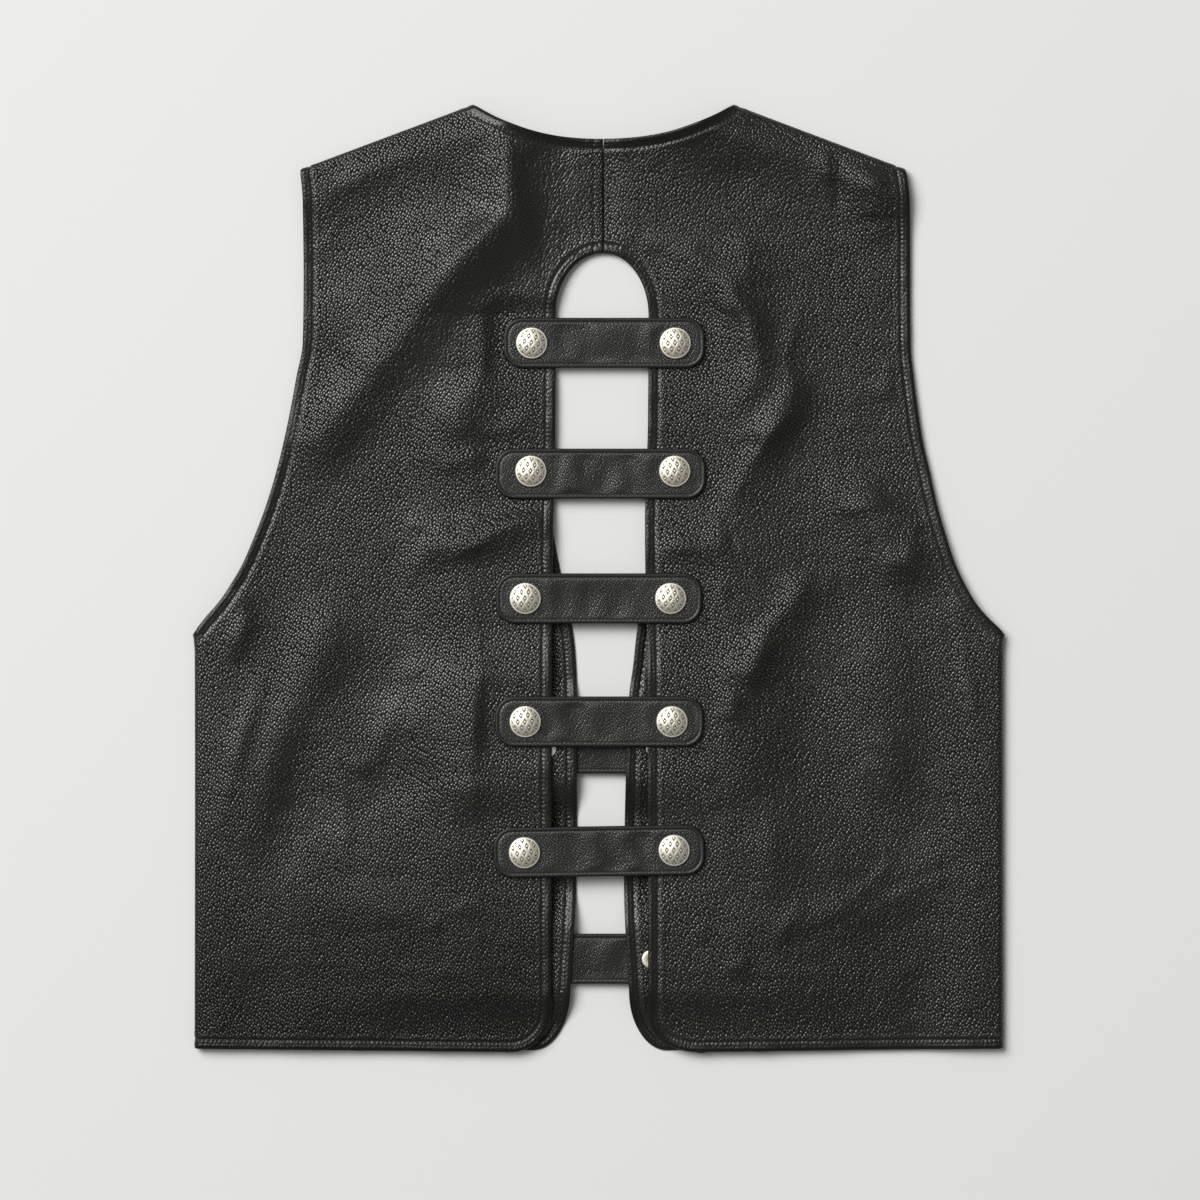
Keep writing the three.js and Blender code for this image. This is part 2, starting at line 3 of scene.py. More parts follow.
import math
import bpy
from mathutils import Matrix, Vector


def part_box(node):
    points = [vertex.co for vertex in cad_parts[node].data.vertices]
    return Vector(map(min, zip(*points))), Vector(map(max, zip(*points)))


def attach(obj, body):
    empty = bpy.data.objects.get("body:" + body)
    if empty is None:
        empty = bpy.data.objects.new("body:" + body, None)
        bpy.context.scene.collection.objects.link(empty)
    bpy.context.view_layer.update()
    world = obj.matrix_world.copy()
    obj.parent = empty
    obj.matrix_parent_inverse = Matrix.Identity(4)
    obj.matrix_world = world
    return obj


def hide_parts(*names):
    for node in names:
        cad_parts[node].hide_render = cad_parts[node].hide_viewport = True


bl_info = {
    "name": "Leather Vest Laid Flat",
    "version": (1, 0, 0),
    "blender": (4, 5, 0),
    "location": "View3D > Sidebar > Leather Vest",
    "description": "Builds a black leather vest with studded straps over its open back",
    "category": "Add Mesh",
}

import bpy
import numpy as np
from mathutils import kdtree

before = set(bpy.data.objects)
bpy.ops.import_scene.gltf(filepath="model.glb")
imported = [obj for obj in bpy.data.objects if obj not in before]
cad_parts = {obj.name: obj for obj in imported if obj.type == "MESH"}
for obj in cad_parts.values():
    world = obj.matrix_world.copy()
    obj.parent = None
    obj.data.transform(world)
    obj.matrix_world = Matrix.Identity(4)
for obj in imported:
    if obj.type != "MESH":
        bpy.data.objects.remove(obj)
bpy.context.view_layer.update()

MM = 0.001
SIDES = ("left", "right")

# Walls and folds, in millimetres as everything up to the meshes
LEATHER = 1.6
GAP = 0.3
STRAP_THICK = 2.4
FOLD_RADIUS = 3.7
LIE = 3.9
LIE_ON_TABLE = 2.3
NECK_DROP = (2.0, 16.0)
CAP_RADIUS = 10.4
CAP_HEIGHT = 4.0
CAP_RIM = 0.7
STRAP_WIDTH = 33.0
STRAP_CORNER = 12.5
FRONT_STRAP_LENGTH = 110.0
STRAP_SAG = 0.35
STRAP_SAG_REACH = 26.0
SEAM_GROOVE = 0.26

# Plan of the back and front halves
BACK_SEAM_X = 2.95
NECK_CENTRE_Y = 288.0
NECKLINE_POWER = 2.45
ARCH_APEX_Y = 213.2
ARCH_RISE = 41.0
HEM_SLOT_Y = -311.0
HEM_SIDE_Y = -308.8
ARMPIT_Y = -36.5
ARMPIT_ROW_Y = -31.8
TOP_BEND_Y = 185.0
NECK_POINT = {"left": (-82.0, 311.0), "right": (87.9, 311.0)}
BACK_HEM_CORNER = {"left": (27.0, 29.0), "right": (33.0, 23.0)}
FRONT_HEM_CORNER = (24.0, 38.0)
FRONT_HEM_RISE = 0.8
FRONT_ARMHOLE_INSET = 2.0
INSET_FADE = {"armpit": 25.0, "tip": 12.0}

# Edge tables: height, left x, right x
OUTER_EDGE = np.array([
    (268.2, -196.2, 201.6), (248, -194.4, 204), (153.5, -194.6, 204.7), (132.5, -198.6, 206.6),
    (111.5, -202.4, 209.3), (90.5, -206.8, 212.5), (69.5, -211.9, 217.2), (48.5, -218.2, 221.9),
    (27.6, -226, 227.8), (6.6, -235.2, 235), (-14.4, -248.4, 246), (-24.9, -257.4, 254.4),
    (ARMPIT_Y, -266.6, 266.6), (-48, -265.4, 265.4), (-320, -265.4, 265.4),
])
SLOT_EDGE = np.array([
    (ARCH_APEX_Y, -28.5, 32.6), (101, -28.5, 32.1), (38, -29.8, 30.2), (-60, -30.8, 31.4),
    (-320, -30.8, 32.4),
])
FRONT_EDGE = np.array([
    (311, -82, 87.9), (280, -66, 71.5), (240, -56, 61.5), (163, -46.5, 51.5), (84, -36.5, 42.5),
    (31.5, -30.2, 36), (-8, -22.8, 30), (-35.4, -17.1, 24.9), (-56.4, -15.1, 22.6),
    (-80, -14.4, 19.6), (-150, -14.4, 17.1), (-213, -15.2, 16.6), (-270, -18.6, 19.6),
    (-320, -19.6, 20.6),
])

# Middles of the straps that hold the fronts together
FRONT_STRAPS = ((1.5, -111.8), (-1.3, -249.8))

# Level stretches of the back along the slot: low, high, strap whose seat gives the height
LEVELS = (
    (135.5, 172.2, 1), (50, 88, 2), (ARMPIT_ROW_Y, 5, 3), (-131, -75.5, 4), (-198, -161, 5),
    (-269, -232, 4),
)
LEVEL_REACH = 84.0
LEVEL_END = (142.0, 225.0)
LEVEL_SPREAD_Y = (-130.0, -190.0)
SLOT_FOOT_Y = -303.0
FOOT_LIFT_Y = -258.0
FOOT_LIFT_REACH = 45.0
HEM_LIFT = 3.6
NAPE_Y = 236.0
RISE_MARGIN = (16.0, 2.0)
RISE_REACH = 28.0
SIDE_SETTLE = 62.0
SHOULDER_SETTLE = 46.0
SHOULDER_SLANT = 1.07

# Largest folds of the back, near those of the solids: height, half width, points along each
FOLDS = (
    (4.5, 20, (-60, 282), (-60, 238), (-98, 199), (-182, 92)),
    (1.2, 15, (-112, 236), (-182, 160)), (4, 17, (-75, 165), (-96, 86)),
    (4, 13, (-46, 38), (-104, 18)), (3, 20, (-112, -94), (-90, -122)),
    (5, 18, (-180, -38), (-238, -165)), (1.6, 18, (-176, -100), (-130, -235)),
    (2.5, 15, (185, 276), (182, 236)), (3.5, 14, (92, 172), (102, 132)), (5, 14, (124, 116), (86, 60)),
    (4, 18, (172, 50), (202, 14)), (3.5, 13, (132, -8), (98, -62)),
    (3, 22, (186, -56), (190, -122)), (2, 14, (218, -196), (96, -250)),
    (3.6, 45, (-200, -345), (-200, -215)),
)

# Creases listed between the folds: height, half width, points along each
CREASES = (
    (1.6, 13, (-60, 281), (-60, 238), (-91, 211), (-111, 182), (-130, 155), (-157, 125),
     (-180, 97), (-196, 84)),
    (1.6, 12, (-60, 292), (-60, 240), (-90, 212)),
    (6.5, 44, (-62, 318), (-62, 238), (-100, 196), (-150, 132)),
    (-0.9, 3.5, (-100, 218), (-124, 189), (-142, 166)),
    (1.2, 12, (-73, 172), (-77, 136), (-81, 117)),
    (2.0, 10, (-123, 84), (-98, 76), (-78, 79), (-62, 97), (-39, 113)),
    (1.7, 6, (-127, 37), (-111, 33), (-96, 29)),
    (2.0, 5, (-39, 43), (-65, 33), (-79, 22), (-98, 13)),
    (1.2, 4, (-78, 43), (-94, 20)),
    (1.5, 7, (-108, 25), (-127, -3)),
    (0.7, 4, (-88, 12), (-85, -14), (-79, -41), (-78, -67), (-81, -93), (-83, -132),
     (-79, -178), (-79, -277)),
    (2.0, 22, (-75, -60), (-82, -100), (-88, -160)),
    (2.5, 14, (-130, -80), (-147, -116), (-163, -126)),
    (-0.7, 4, (-121, -31), (-98, -62)),
    (1.0, 6, (-123, -54), (-121, -67)),
    (3.0, 9, (-235, -8), (-233, -31), (-241, -54)),
    (3.0, 11, (-212, -47), (-226, -80), (-235, -110), (-245, -146), (-252, -169)),
    (1.1, 8, (-184, -96), (-176, -119), (-167, -146), (-167, -178), (-149, -207), (-138, -226)),
    (1.0, 12, (-157, 277), (-160, 254)),
    (1.2, 14, (-104, 287), (-144, 271), (-176, 251), (-186, 238)),
    (0.9, 3.5, (-167, 238), (-183, 215)),
    (0.3, 6, (-127, -258), (-85, -260)),
    (0.8, 7, (-112, -222), (-102, -229)),
    (0.8, 7, (-92, -211), (-87, -221)),
    (1.5, 6, (-258, -283), (-247, -296)),
    (-0.6, 4, (-255, -186), (-235, -203)),
    (2.0, 4.5, (148, 284), (150, 260)),
    (-1.4, 4, (158, 280), (157, 240)),
    (6.0, 19, (179, 296), (182, 236)),
    (4.2, 15, (28, 222), (60, 212), (84, 192), (98, 168), (104, 145), (98, 122), (84, 104)),
    (3.0, 8, (130, 113), (109, 90), (96, 68), (85, 48)),
    (2.5, 11, (40, 22), (66, 20), (86, 25)),
    (1.3, 3.5, (151, 68), (153, 51), (165, 45), (191, 50)),
    (2.0, 13, (207, 41), (201, 12), (178, 5)),
    (2.6, 8, (136, -3), (122, -22), (109, -35), (103, -54), (98, -75)),
    (1.2, 3.5, (45, -41), (66, -41)),
    (1.2, 5, (81, -1), (81, -20)),
    (2.0, 7, (89, -73), (86, -93)),
    (1.2, 7, (73, -120), (70, -132)),
    (-0.7, 4, (227, -11), (233, -54), (240, -83), (241, -106), (251, -125)),
    (1.2, 5, (233, -14), (242, -67), (247, -110)),
    (0.8, 4, (155, 8), (146, -18)),
    (-0.7, 4, (171, 2), (186, -29)),
    (-0.8, 5, (258, -178), (230, -189), (197, -201), (165, -221), (132, -239), (115, -247)),
    (0.9, 4, (194, -184), (168, -208)),
    (1.2, 5, (133, -213), (117, -239)),
    (2.0, 6, (82, -255), (99, -253)),
    (1.5, 16, (113, -146), (111, -211)),
    (1.0, 6, (68, -224), (66, -240)),
    (-0.6, 6, (94, 209), (94, 143)),
    (1.2, 7, (132, 179), (123, 143), (129, 117)),
    (2.0, 14, (96, 225), (96, 190)),
    (1.0, 8, (191, 143), (187, 115)),
    (7.0, 46, (-150, 330), (40, 306), (230, 330)),
    (0.3, 3.5, (-258, -256), (-196, -252), (-131, -256), (-86, -258)),
    (0.4, 3.5, (66, -258), (132, -260), (237, -257)),
)

# Stretches pulled taut, with a flatter and smoother grain: amount, half width, points along
TAUT = (
    (0.8, 30, (-32, 282), (-30, 214)),
    (0.6, 42, (30, 262), (112, 256)),
    (0.8, 14, (-50, 225), (-82, 190), (-100, 162), (-120, 134)),
)

# Stretches painted with shade, where the sheen is lowered to darken them: amount, half width, points along
PAINTED_SHADE = (
    (0.42, 90, (-240, -290), (-70, -270)), (0.16, 80, (70, -290), (250, -280)),
    (0.35, 50, (30, 262), (112, 250)),
)

# Distances from an edge at which its roll, groove and stitches are modelled
EDGE_STEPS = np.array([0, 0.06, 0.2, 0.45, 0.8, 1.2, 1.7, 2.3, 3.0, 3.8, 4.6, 5.3, 5.9, 6.4, 6.9,
                       7.5, 8.3, 9.4, 10.8, 12.6])
NOSE_RADIUS = 0.95
UNDER_NOSE = 0.5

# Least distance between two rows of a panel, and edge segments tried for each point
ROW_APART = 0.04
NEAR_SEGMENTS = 6

# Points along a corner, a short side and a long side of a strap's outline
CORNER_POINTS = 12
END_POINTS = 8
LONG_POINTS = 84

# Depth in metres and roughness of the grain on panels and on straps
PANEL_GRAIN = (0.00052, 0.3)
STRAP_GRAIN = (0.00024, 0.42)

# Roundness of a crease's crest, as a share of its half width
CREST = 0.4


def ease(t):
    """0 below 0, 1 above 1, with a level start and end."""
    s = np.clip(t, 0, 1)
    return s * s * (3 - 2 * s)


def mix(a, b, t):
    return a + (b - a) * t


def outward(side):
    return -1 if side == "left" else 1


def read_column(table, side, y):
    """Smooth x of an edge table at height y. The table's rows fall in y."""
    heights = table[:, 0]
    values = table[:, 1 if side == "left" else 2]
    y = np.asarray(y, float)
    row = np.searchsorted(-heights[1:-1], -y, side="left")
    span = heights[row + 1] - heights[row]
    t = np.clip((y - heights[row]) / span, 0, 1)
    chord = np.diff(values) / np.diff(heights)
    slope = np.concatenate((chord[:1], (values[2:] - values[:-2]) / (heights[2:] - heights[:-2]),
                            chord[-1:]))
    slope_a = np.where(heights[row] == ARMPIT_Y, chord[row], slope[row])
    slope_b = np.where(heights[row + 1] == ARMPIT_Y, chord[row], slope[row + 1])
    t2, t3 = t * t, t * t * t
    return ((2 * t3 - 3 * t2 + 1) * values[row] + (t3 - 2 * t2 + t) * span * slope_a
            + (3 * t2 - 2 * t3) * values[row + 1] + (t3 - t2) * span * slope_b)


def corner_inset(corner, y, hem_y):
    """How far a rounded hem corner draws an edge back at this height."""
    across, up = corner
    drop = np.clip((hem_y + up - y) / up, 0, 1)
    return across * (1 - np.sqrt(1 - drop * drop))


def arch_inset(side, y):
    """How far the arch over the slot draws the edge towards the seam."""
    spring_y = ARCH_APEX_Y - ARCH_RISE
    reach = abs(float(read_column(SLOT_EDGE, side, spring_y)) - BACK_SEAM_X) - GAP / 2
    climb = np.clip((y - spring_y) / ARCH_RISE, 0, 1)
    return reach * (1 - np.sqrt(1 - climb * climb))


def back_inner_edge(side, y):
    edge = read_column(SLOT_EDGE, side, np.minimum(y, ARCH_APEX_Y - ARCH_RISE))
    corner = corner_inset(BACK_HEM_CORNER[side], y, HEM_SLOT_Y)
    return edge + outward(side) * (corner - arch_inset(side, y))


def front_inner_edge(side, y):
    corner = corner_inset(FRONT_HEM_CORNER, y, HEM_SLOT_Y + FRONT_HEM_RISE)
    return read_column(FRONT_EDGE, side, y) + outward(side) * corner


def fold_round(distance):
    """Quarter round of the side fold or shoulder fold."""
    d = np.minimum(np.abs(distance), FOLD_RADIUS)
    return np.sign(distance) * np.sqrt(FOLD_RADIUS ** 2 - (FOLD_RADIUS - d) ** 2)


def distance_to_side(side, x, y):
    return np.abs(read_column(OUTER_EDGE, side, np.minimum(y, ARMPIT_Y))) - np.abs(x)


def distance_to_shoulder(side, x, y):
    neck_x, neck_y = NECK_POINT[side]
    tip_x, tip_y = shoulder_tip(side)
    length = math.hypot(tip_x - neck_x, tip_y - neck_y)
    cross = (tip_x - neck_x) * (y - neck_y) - (tip_y - neck_y) * (x - neck_x)
    return -outward(side) * cross / length


def shoulder_tip(side):
    return OUTER_EDGE[0][1 if side == "left" else 2], OUTER_EDGE[0][0]


def along_line(x0, y0, x1, y1, x, y):
    """Distance to a straight line and how far along it, from 0 to 1."""
    dx, dy = x1 - x0, y1 - y0
    t = np.clip(((x - x0) * dx + (y - y0) * dy) / (dx * dx + dy * dy), 0, 1)
    return np.hypot(x - x0 - t * dx, y - y0 - t * dy), t


def front_rise(x, y):
    """How much the front stands up over its own straps, from 0 to 1."""
    rise = 0
    for strap_x, strap_y in FRONT_STRAPS:
        dx = np.maximum(np.abs(x - strap_x) - FRONT_STRAP_LENGTH / 2 - RISE_MARGIN[0], 0)
        dy = np.maximum(np.abs(y - strap_y) - STRAP_WIDTH / 2 - RISE_MARGIN[1], 0)
        rise = np.maximum(rise, ease(1 - np.hypot(dx, dy) / RISE_REACH))
    return rise


def seat_height(strap):
    """Upper side of the back under one of its straps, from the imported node."""
    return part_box(f"back_strap_{strap}")[0][2] / MM - GAP


def slot_height(y, free, folds):
    """Height of the back along the slot: level at each strap, folded between them."""
    stops = [(NAPE_Y, NAPE_Y, None)]
    stops += [(low, high, seat_height(strap)) for low, high, strap in LEVELS]
    stops += [(SLOT_FOOT_Y, SLOT_FOOT_Y, None)]
    loose = free + folds + HEM_LIFT * ease((FOOT_LIFT_Y - y) / FOOT_LIFT_REACH)
    height = np.array(loose)
    for i, (low, high, z) in enumerate(stops):
        here = loose if z is None else z
        height = np.where((y <= high) & (y >= low), here, height)
        if i + 1 < len(stops):
            next_high, next_z = stops[i + 1][1], stops[i + 1][2]
            there = loose if next_z is None else next_z
            t = (low - y) / (low - next_high)
            between = mix(here, there, ease(t)) + folds * 4 * t * (1 - t)
            height = np.where((y < low) & (y > next_high), between, height)
    return height


def back_height(side, x, y):
    """Upper side of a back half, on the form of its solid."""
    beyond_front = np.abs(front_inner_edge(side, y)) - np.abs(x)
    over_front = ease((NECK_DROP[1] - beyond_front) / (NECK_DROP[1] - NECK_DROP[0]))
    free = mix(LIE_ON_TABLE, LIE, over_front)
    low = ease((LEVEL_SPREAD_Y[0] - y) / (LEVEL_SPREAD_Y[0] - LEVEL_SPREAD_Y[1]))
    end = mix(LEVEL_END[0], LEVEL_END[1], low)
    beside = ease((end - np.abs(x)) / (end - LEVEL_REACH))
    folds = 0
    for height, width, *points in FOLDS:
        folds = folds + height * np.exp(-((along_path(points, x, y)[0] / width) ** 2))
    lying = mix(free + folds, slot_height(y, free, folds), beside)
    from_side = distance_to_side(side, x, y)
    from_shoulder = distance_to_shoulder(side, x, y)
    settled = (ease((from_side - FOLD_RADIUS) / SIDE_SETTLE)
               * ease((from_shoulder - FOLD_RADIUS) / SHOULDER_SETTLE))
    seam = FOLD_RADIUS + GAP
    turned = np.minimum(fold_round(from_side), fold_round(from_shoulder))
    return seam + turned + (lying - seam - FOLD_RADIUS) * settled - joint_close(side, x, y)


def front_height(side, x, y):
    """Lower side of a front half, on the table but for its straps."""
    turned = np.minimum(fold_round(distance_to_side(side, x, y)),
                        fold_round(distance_to_shoulder(side, x, y)))
    strap_top = CAP_HEIGHT + GAP + STRAP_THICK + GAP
    return FOLD_RADIUS - turned + strap_top * front_rise(x, y) + joint_close(side, x, y)


def joint_close(side, x, y):
    """Brings the back and the front together where they are one leather, at side and shoulder."""
    near = np.minimum(distance_to_side(side, x, y), distance_to_shoulder(side, x, y))
    return GAP / 2 * (1 - ease(near / FOLD_RADIUS))


def undulation(x, y, wavelength, seed):
    """Smooth unevenness from -1 to 1 with about this wavelength in millimetres."""
    rng = np.random.default_rng(seed)
    total = np.zeros(np.shape(x))
    waves = 24
    for _ in range(waves):
        angle = rng.uniform(0, math.pi)
        wave = 2 * math.pi / (wavelength * rng.uniform(0.75, 1.5))
        total += np.sin(wave * (x * math.cos(angle) + y * math.sin(angle)) + rng.uniform(0, 6.3))
    return np.clip(total / math.sqrt(waves) / 1.6, -1, 1)


def strap_cover(x, y):
    """1 under a back strap, falling to 0 a little way round it."""
    cover = 0
    for number in range(1, 6):
        low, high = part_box(f"back_strap_{number}")
        middle = (low + high) / 2 / MM
        half = (high - low) / 2 / MM
        dx = np.maximum(np.abs(x - middle[0]) - half[0], 0)
        dy = np.maximum(np.abs(y - middle[1]) - half[1], 0)
        cover = np.maximum(cover, 1 - ease((np.hypot(dx, dy) - 2) / 14))
    return cover


def along_path(points, x, y):
    """Distance to a chain of straight lines and how far along it, from 0 to 1."""
    pieces = len(points) - 1
    nearest = np.full(np.shape(x), 1e9)
    place = np.zeros(np.shape(x))
    for i in range(pieces):
        distance, t = along_line(*points[i], *points[i + 1], x, y)
        closer = distance < nearest
        nearest = np.where(closer, distance, nearest)
        place = np.where(closer, (i + t) / pieces, place)
    return nearest, place


def crease_height(x, y):
    """Listed creases with a narrow crest, uneven along and dying out at the ends."""
    total = np.zeros(np.shape(x))
    for number, (height, width, *points) in enumerate(CREASES):
        nearest, place = along_path(points, x, y)
        crest = np.exp(CREST - np.sqrt((1.5 * nearest / width) ** 2 + CREST ** 2))
        along = np.sin(np.pi * place) ** 0.5 * (1 + 0.2 * np.sin(9 * place + number))
        total += height * crest * along
    return total


def stretches(table, x, y):
    """The greatest amount that the table's stretches have at a place, fading at their sides."""
    amounts = np.zeros(np.shape(x))
    for amount, width, *points in table:
        nearest = along_path(points, x, y)[0]
        amounts = np.maximum(amounts, amount * np.exp(-((nearest / width) ** 2)))
    return amounts


def loose_relief(side, x, y):
    """Creases and unevenness of the free leather, none where a strap or a fold holds it."""
    near_joint = np.minimum(distance_to_side(side, x, y), distance_to_shoulder(side, x, y))
    free = (1 - strap_cover(x, y)) * ease(near_joint / 22)
    uneven = 0.32 * (1 + undulation(x, y, 44, 3)) + 0.16 * (1 + undulation(x, y, 15, 8))
    return free * (uneven + crease_height(x, y))


def nose_drop(distance, radius):
    """How far a turned edge is rounded off at a distance from its outermost line."""
    d = np.minimum(distance, radius)
    return radius - np.sqrt(radius ** 2 - (radius - d) ** 2)


def turned_edge(distance, inset, held):
    """Swelling of the turned edge, groove of its stitches and the ridge behind it.
    The swelling is pressed flat where a strap holds it."""
    roll = 0.26 * np.exp(-(((distance - 0.36 * inset) / (0.13 * inset)) ** 2))
    groove = 0.55 * np.exp(-(((distance - inset) / 0.85) ** 2))
    ridge = 0.2 * np.exp(-(((distance - 1.42 * inset) / (0.2 * inset)) ** 2))
    return (roll + ridge) * (1 - 0.75 * held) - groove


def top_bulge(side, share):
    """Neckline and shoulder, measured up from a straight line between their ends."""
    neck_y = NECK_POINT[side][1]
    tip_y = shoulder_tip(side)[1]
    turn = neck_share(side)
    straight = mix(NECK_CENTRE_Y, tip_y, share)
    shoulder = mix(neck_y, tip_y, (share - turn) / (1 - turn))
    neckline = mix(NECK_CENTRE_Y, neck_y, np.minimum(share / turn, 1) ** NECKLINE_POWER)
    return np.where(share > turn, shoulder, neckline) - straight


def seam_x(side):
    return BACK_SEAM_X + outward(side) * GAP / 2


def neck_share(side):
    return (NECK_POINT[side][0] - seam_x(side)) / (shoulder_tip(side)[0] - seam_x(side))


def outer_height(y, hem_inner, top_inner, hem_outer, tip_y):
    """Height at the outer edge of the row that starts at y on the inner edge."""
    below = mix(hem_outer, ARMPIT_Y, (y - hem_inner) / (ARMPIT_ROW_Y - hem_inner))
    above = mix(ARMPIT_Y, tip_y, (y - ARMPIT_ROW_Y) / (top_inner - ARMPIT_ROW_Y))
    return np.where(y < ARMPIT_ROW_Y, below, above)


def spread(fixed, low, high, step):
    """Sorted values through all the fixed ones, with gaps no wider than step."""
    marks = [low]
    for value in sorted(v for v in fixed if low < v < high):
        if value - marks[-1] > min(ROW_APART, 0.5 * step):
            marks.append(value)
    if high - marks[-1] < 0.05 and len(marks) > 1:
        marks.pop()
    marks.append(high)
    values = []
    for a, b in zip(marks, marks[1:]):
        count = max(1, math.ceil((b - a) / step))
        values += [a + (b - a) * i / count for i in range(count)]
    return np.array(values + [high])


def corner_rows(hem_y, rise):
    return [hem_y + rise * (1 - math.cos(math.radians(a))) for a in range(4, 91, 4)]


def grid_shares(widths, step, neck=None):
    """Shares for each row: edge columns keep their distance, the rest fill between, through
    the neck point's share where one is given."""
    reference, reach = float(np.median(widths)), EDGE_STEPS[-1]

    def fill(size):
        return np.linspace(0, 1, math.ceil(size / step) + 1)[1:]

    rows = []
    for width in widths:
        inner, outer = EDGE_STEPS / width, 1 - EDGE_STEPS[::-1] / width
        if neck is None:
            middle = mix(inner[-1], outer[0], fill(reference - 2 * reach)[:-1])
        else:
            middle = np.concatenate((mix(inner[-1], neck, fill(neck * reference - reach)),
                                     mix(neck, outer[0],
                                         fill((1 - neck) * reference - reach)[:-1])))
        rows.append(np.concatenate((inner, middle, outer)))
    return np.array(rows)


def back_grid(side, step):
    """Plan points of a back half and its free edge lines."""
    arch_rows = [ARCH_APEX_Y - ARCH_RISE + ARCH_RISE * math.sin(math.radians(a))
                 for a in range(0, 91, 3)]
    above_arch = list(ARCH_APEX_Y + EDGE_STEPS[2:])
    top_rows = list(NECK_CENTRE_Y - EDGE_STEPS[::-1] * SHOULDER_SLANT)
    hem_rows = list(HEM_SLOT_Y + EDGE_STEPS[1:])
    fixed = hem_rows + corner_rows(HEM_SLOT_Y, BACK_HEM_CORNER[side][1]) + arch_rows + above_arch
    rows = spread(fixed + top_rows, HEM_SLOT_Y, NECK_CENTRE_Y, step)
    tip_y = shoulder_tip(side)[1]
    outer_y = outer_height(rows, HEM_SLOT_Y, NECK_CENTRE_Y, HEM_SIDE_Y, tip_y)
    inner_x = np.where(rows > ARCH_APEX_Y, seam_x(side), back_inner_edge(side, rows))
    outer_x = read_column(OUTER_EDGE, side, outer_y)
    bend = np.clip((rows - TOP_BEND_Y) / (NECK_CENTRE_Y - TOP_BEND_Y), 0, 1)
    shares = grid_shares(np.abs(outer_x - inner_x), step, neck_share(side))
    x = mix(inner_x[:, None], outer_x[:, None], shares)
    y = mix(rows[:, None], outer_y[:, None], shares) + bend[:, None] * top_bulge(side, shares)
    low_edge = rows <= ARCH_APEX_Y
    turn = int(np.argmin(np.abs(shares[-1] - neck_share(side))))
    armhole = outer_y >= ARMPIT_Y
    lines = {
        "slot": np.concatenate((np.stack((x[0, ::-1], y[0, ::-1]), 1),
                                np.stack((x[1:, 0], y[1:, 0]), 1)[low_edge[1:]])),
        "seam": np.stack((x[:, 0], y[:, 0]), 1)[~low_edge],
        "neck": np.stack((x[-1, :turn + 1], y[-1, :turn + 1]), 1),
        "armhole": np.stack((x[:, -1], y[:, -1]), 1)[armhole],
    }
    return x, y, lines


def front_grid(side, step):
    """Plan points of a front half and its free edge lines."""
    neck_y = NECK_POINT[side][1]
    tip_y = shoulder_tip(side)[1]
    hem_inner, hem_outer = HEM_SLOT_Y + FRONT_HEM_RISE, HEM_SIDE_Y + FRONT_HEM_RISE
    fixed = (corner_rows(hem_inner, FRONT_HEM_CORNER[1]) + list(hem_inner + EDGE_STEPS[1:])
             + list(neck_y - EDGE_STEPS[::-1] * SHOULDER_SLANT))
    rows = spread(fixed, hem_inner, neck_y, step)
    outer_y = outer_height(rows, hem_inner, neck_y, hem_outer, tip_y)
    fade = ease((outer_y - ARMPIT_Y) / INSET_FADE["armpit"]) * ease((tip_y - outer_y)
                                                                    / INSET_FADE["tip"])
    outer_x = read_column(OUTER_EDGE, side, outer_y) - outward(side) * FRONT_ARMHOLE_INSET * fade
    inner_x = front_inner_edge(side, rows)
    shares = grid_shares(np.abs(outer_x - inner_x), step)
    x = mix(inner_x[:, None], outer_x[:, None], shares)
    y = mix(rows[:, None], outer_y[:, None], shares)
    armhole = outer_y >= ARMPIT_Y
    lines = {
        "slot": np.concatenate((np.stack((x[0, ::-1], y[0, ::-1]), 1),
                                np.stack((x[1:, 0], y[1:, 0]), 1))),
        "armhole": np.stack((x[:, -1], y[:, -1]), 1)[armhole],
    }
    return x, y, lines


def edge_measure(lines, x, y):
    """Distance from each point to the nearest edge line and the run along that line."""
    starts, ends, runs, spans = [], [], [], []
    for line in lines:
        lengths = np.hypot(*np.diff(line, axis=0).T)
        keep = lengths > 1e-6
        starts.append(line[:-1][keep])
        ends.append(line[1:][keep])
        runs.append((np.cumsum(lengths) - lengths)[keep])
        spans.append(lengths[keep])
    starts, ends = np.concatenate(starts), np.concatenate(ends)
    runs, spans = np.concatenate(runs), np.concatenate(spans)
    tree = kdtree.KDTree(len(starts))
    for i, (px, py) in enumerate((starts + ends) / 2):
        tree.insert((px, py, 0), i)
    tree.balance()
    flat_x, flat_y = np.ravel(x), np.ravel(y)
    near = np.array([[hit[1] for hit in tree.find_n((px, py, 0), NEAR_SEGMENTS)]
                     for px, py in zip(flat_x, flat_y)])
    a, b = starts[near], ends[near]
    step = b - a
    offset = np.stack((flat_x, flat_y), 1)[:, None, :] - a
    t = np.clip((offset * step).sum(2) / (step ** 2).sum(2), 0, 1)
    gap = np.hypot(offset[..., 0] - t * step[..., 0], offset[..., 1] - t * step[..., 1])
    best = gap.argmin(1)
    pick = np.arange(len(best))
    run = runs[near] + t * spans[near]
    return gap[pick, best].reshape(np.shape(x)), run[pick, best].reshape(np.shape(x))


def grid_normals(points, facing):
    """Unit normals of a grid of points, rows by columns, all on the side that faces."""
    along = np.gradient(points, axis=0)
    across = np.gradient(points, axis=1)
    normal = np.cross(across, along)
    normal /= np.maximum(np.linalg.norm(normal, axis=2, keepdims=True), 1e-12)
    return normal * np.where(normal[..., 2:3] * facing < 0, -1, 1)


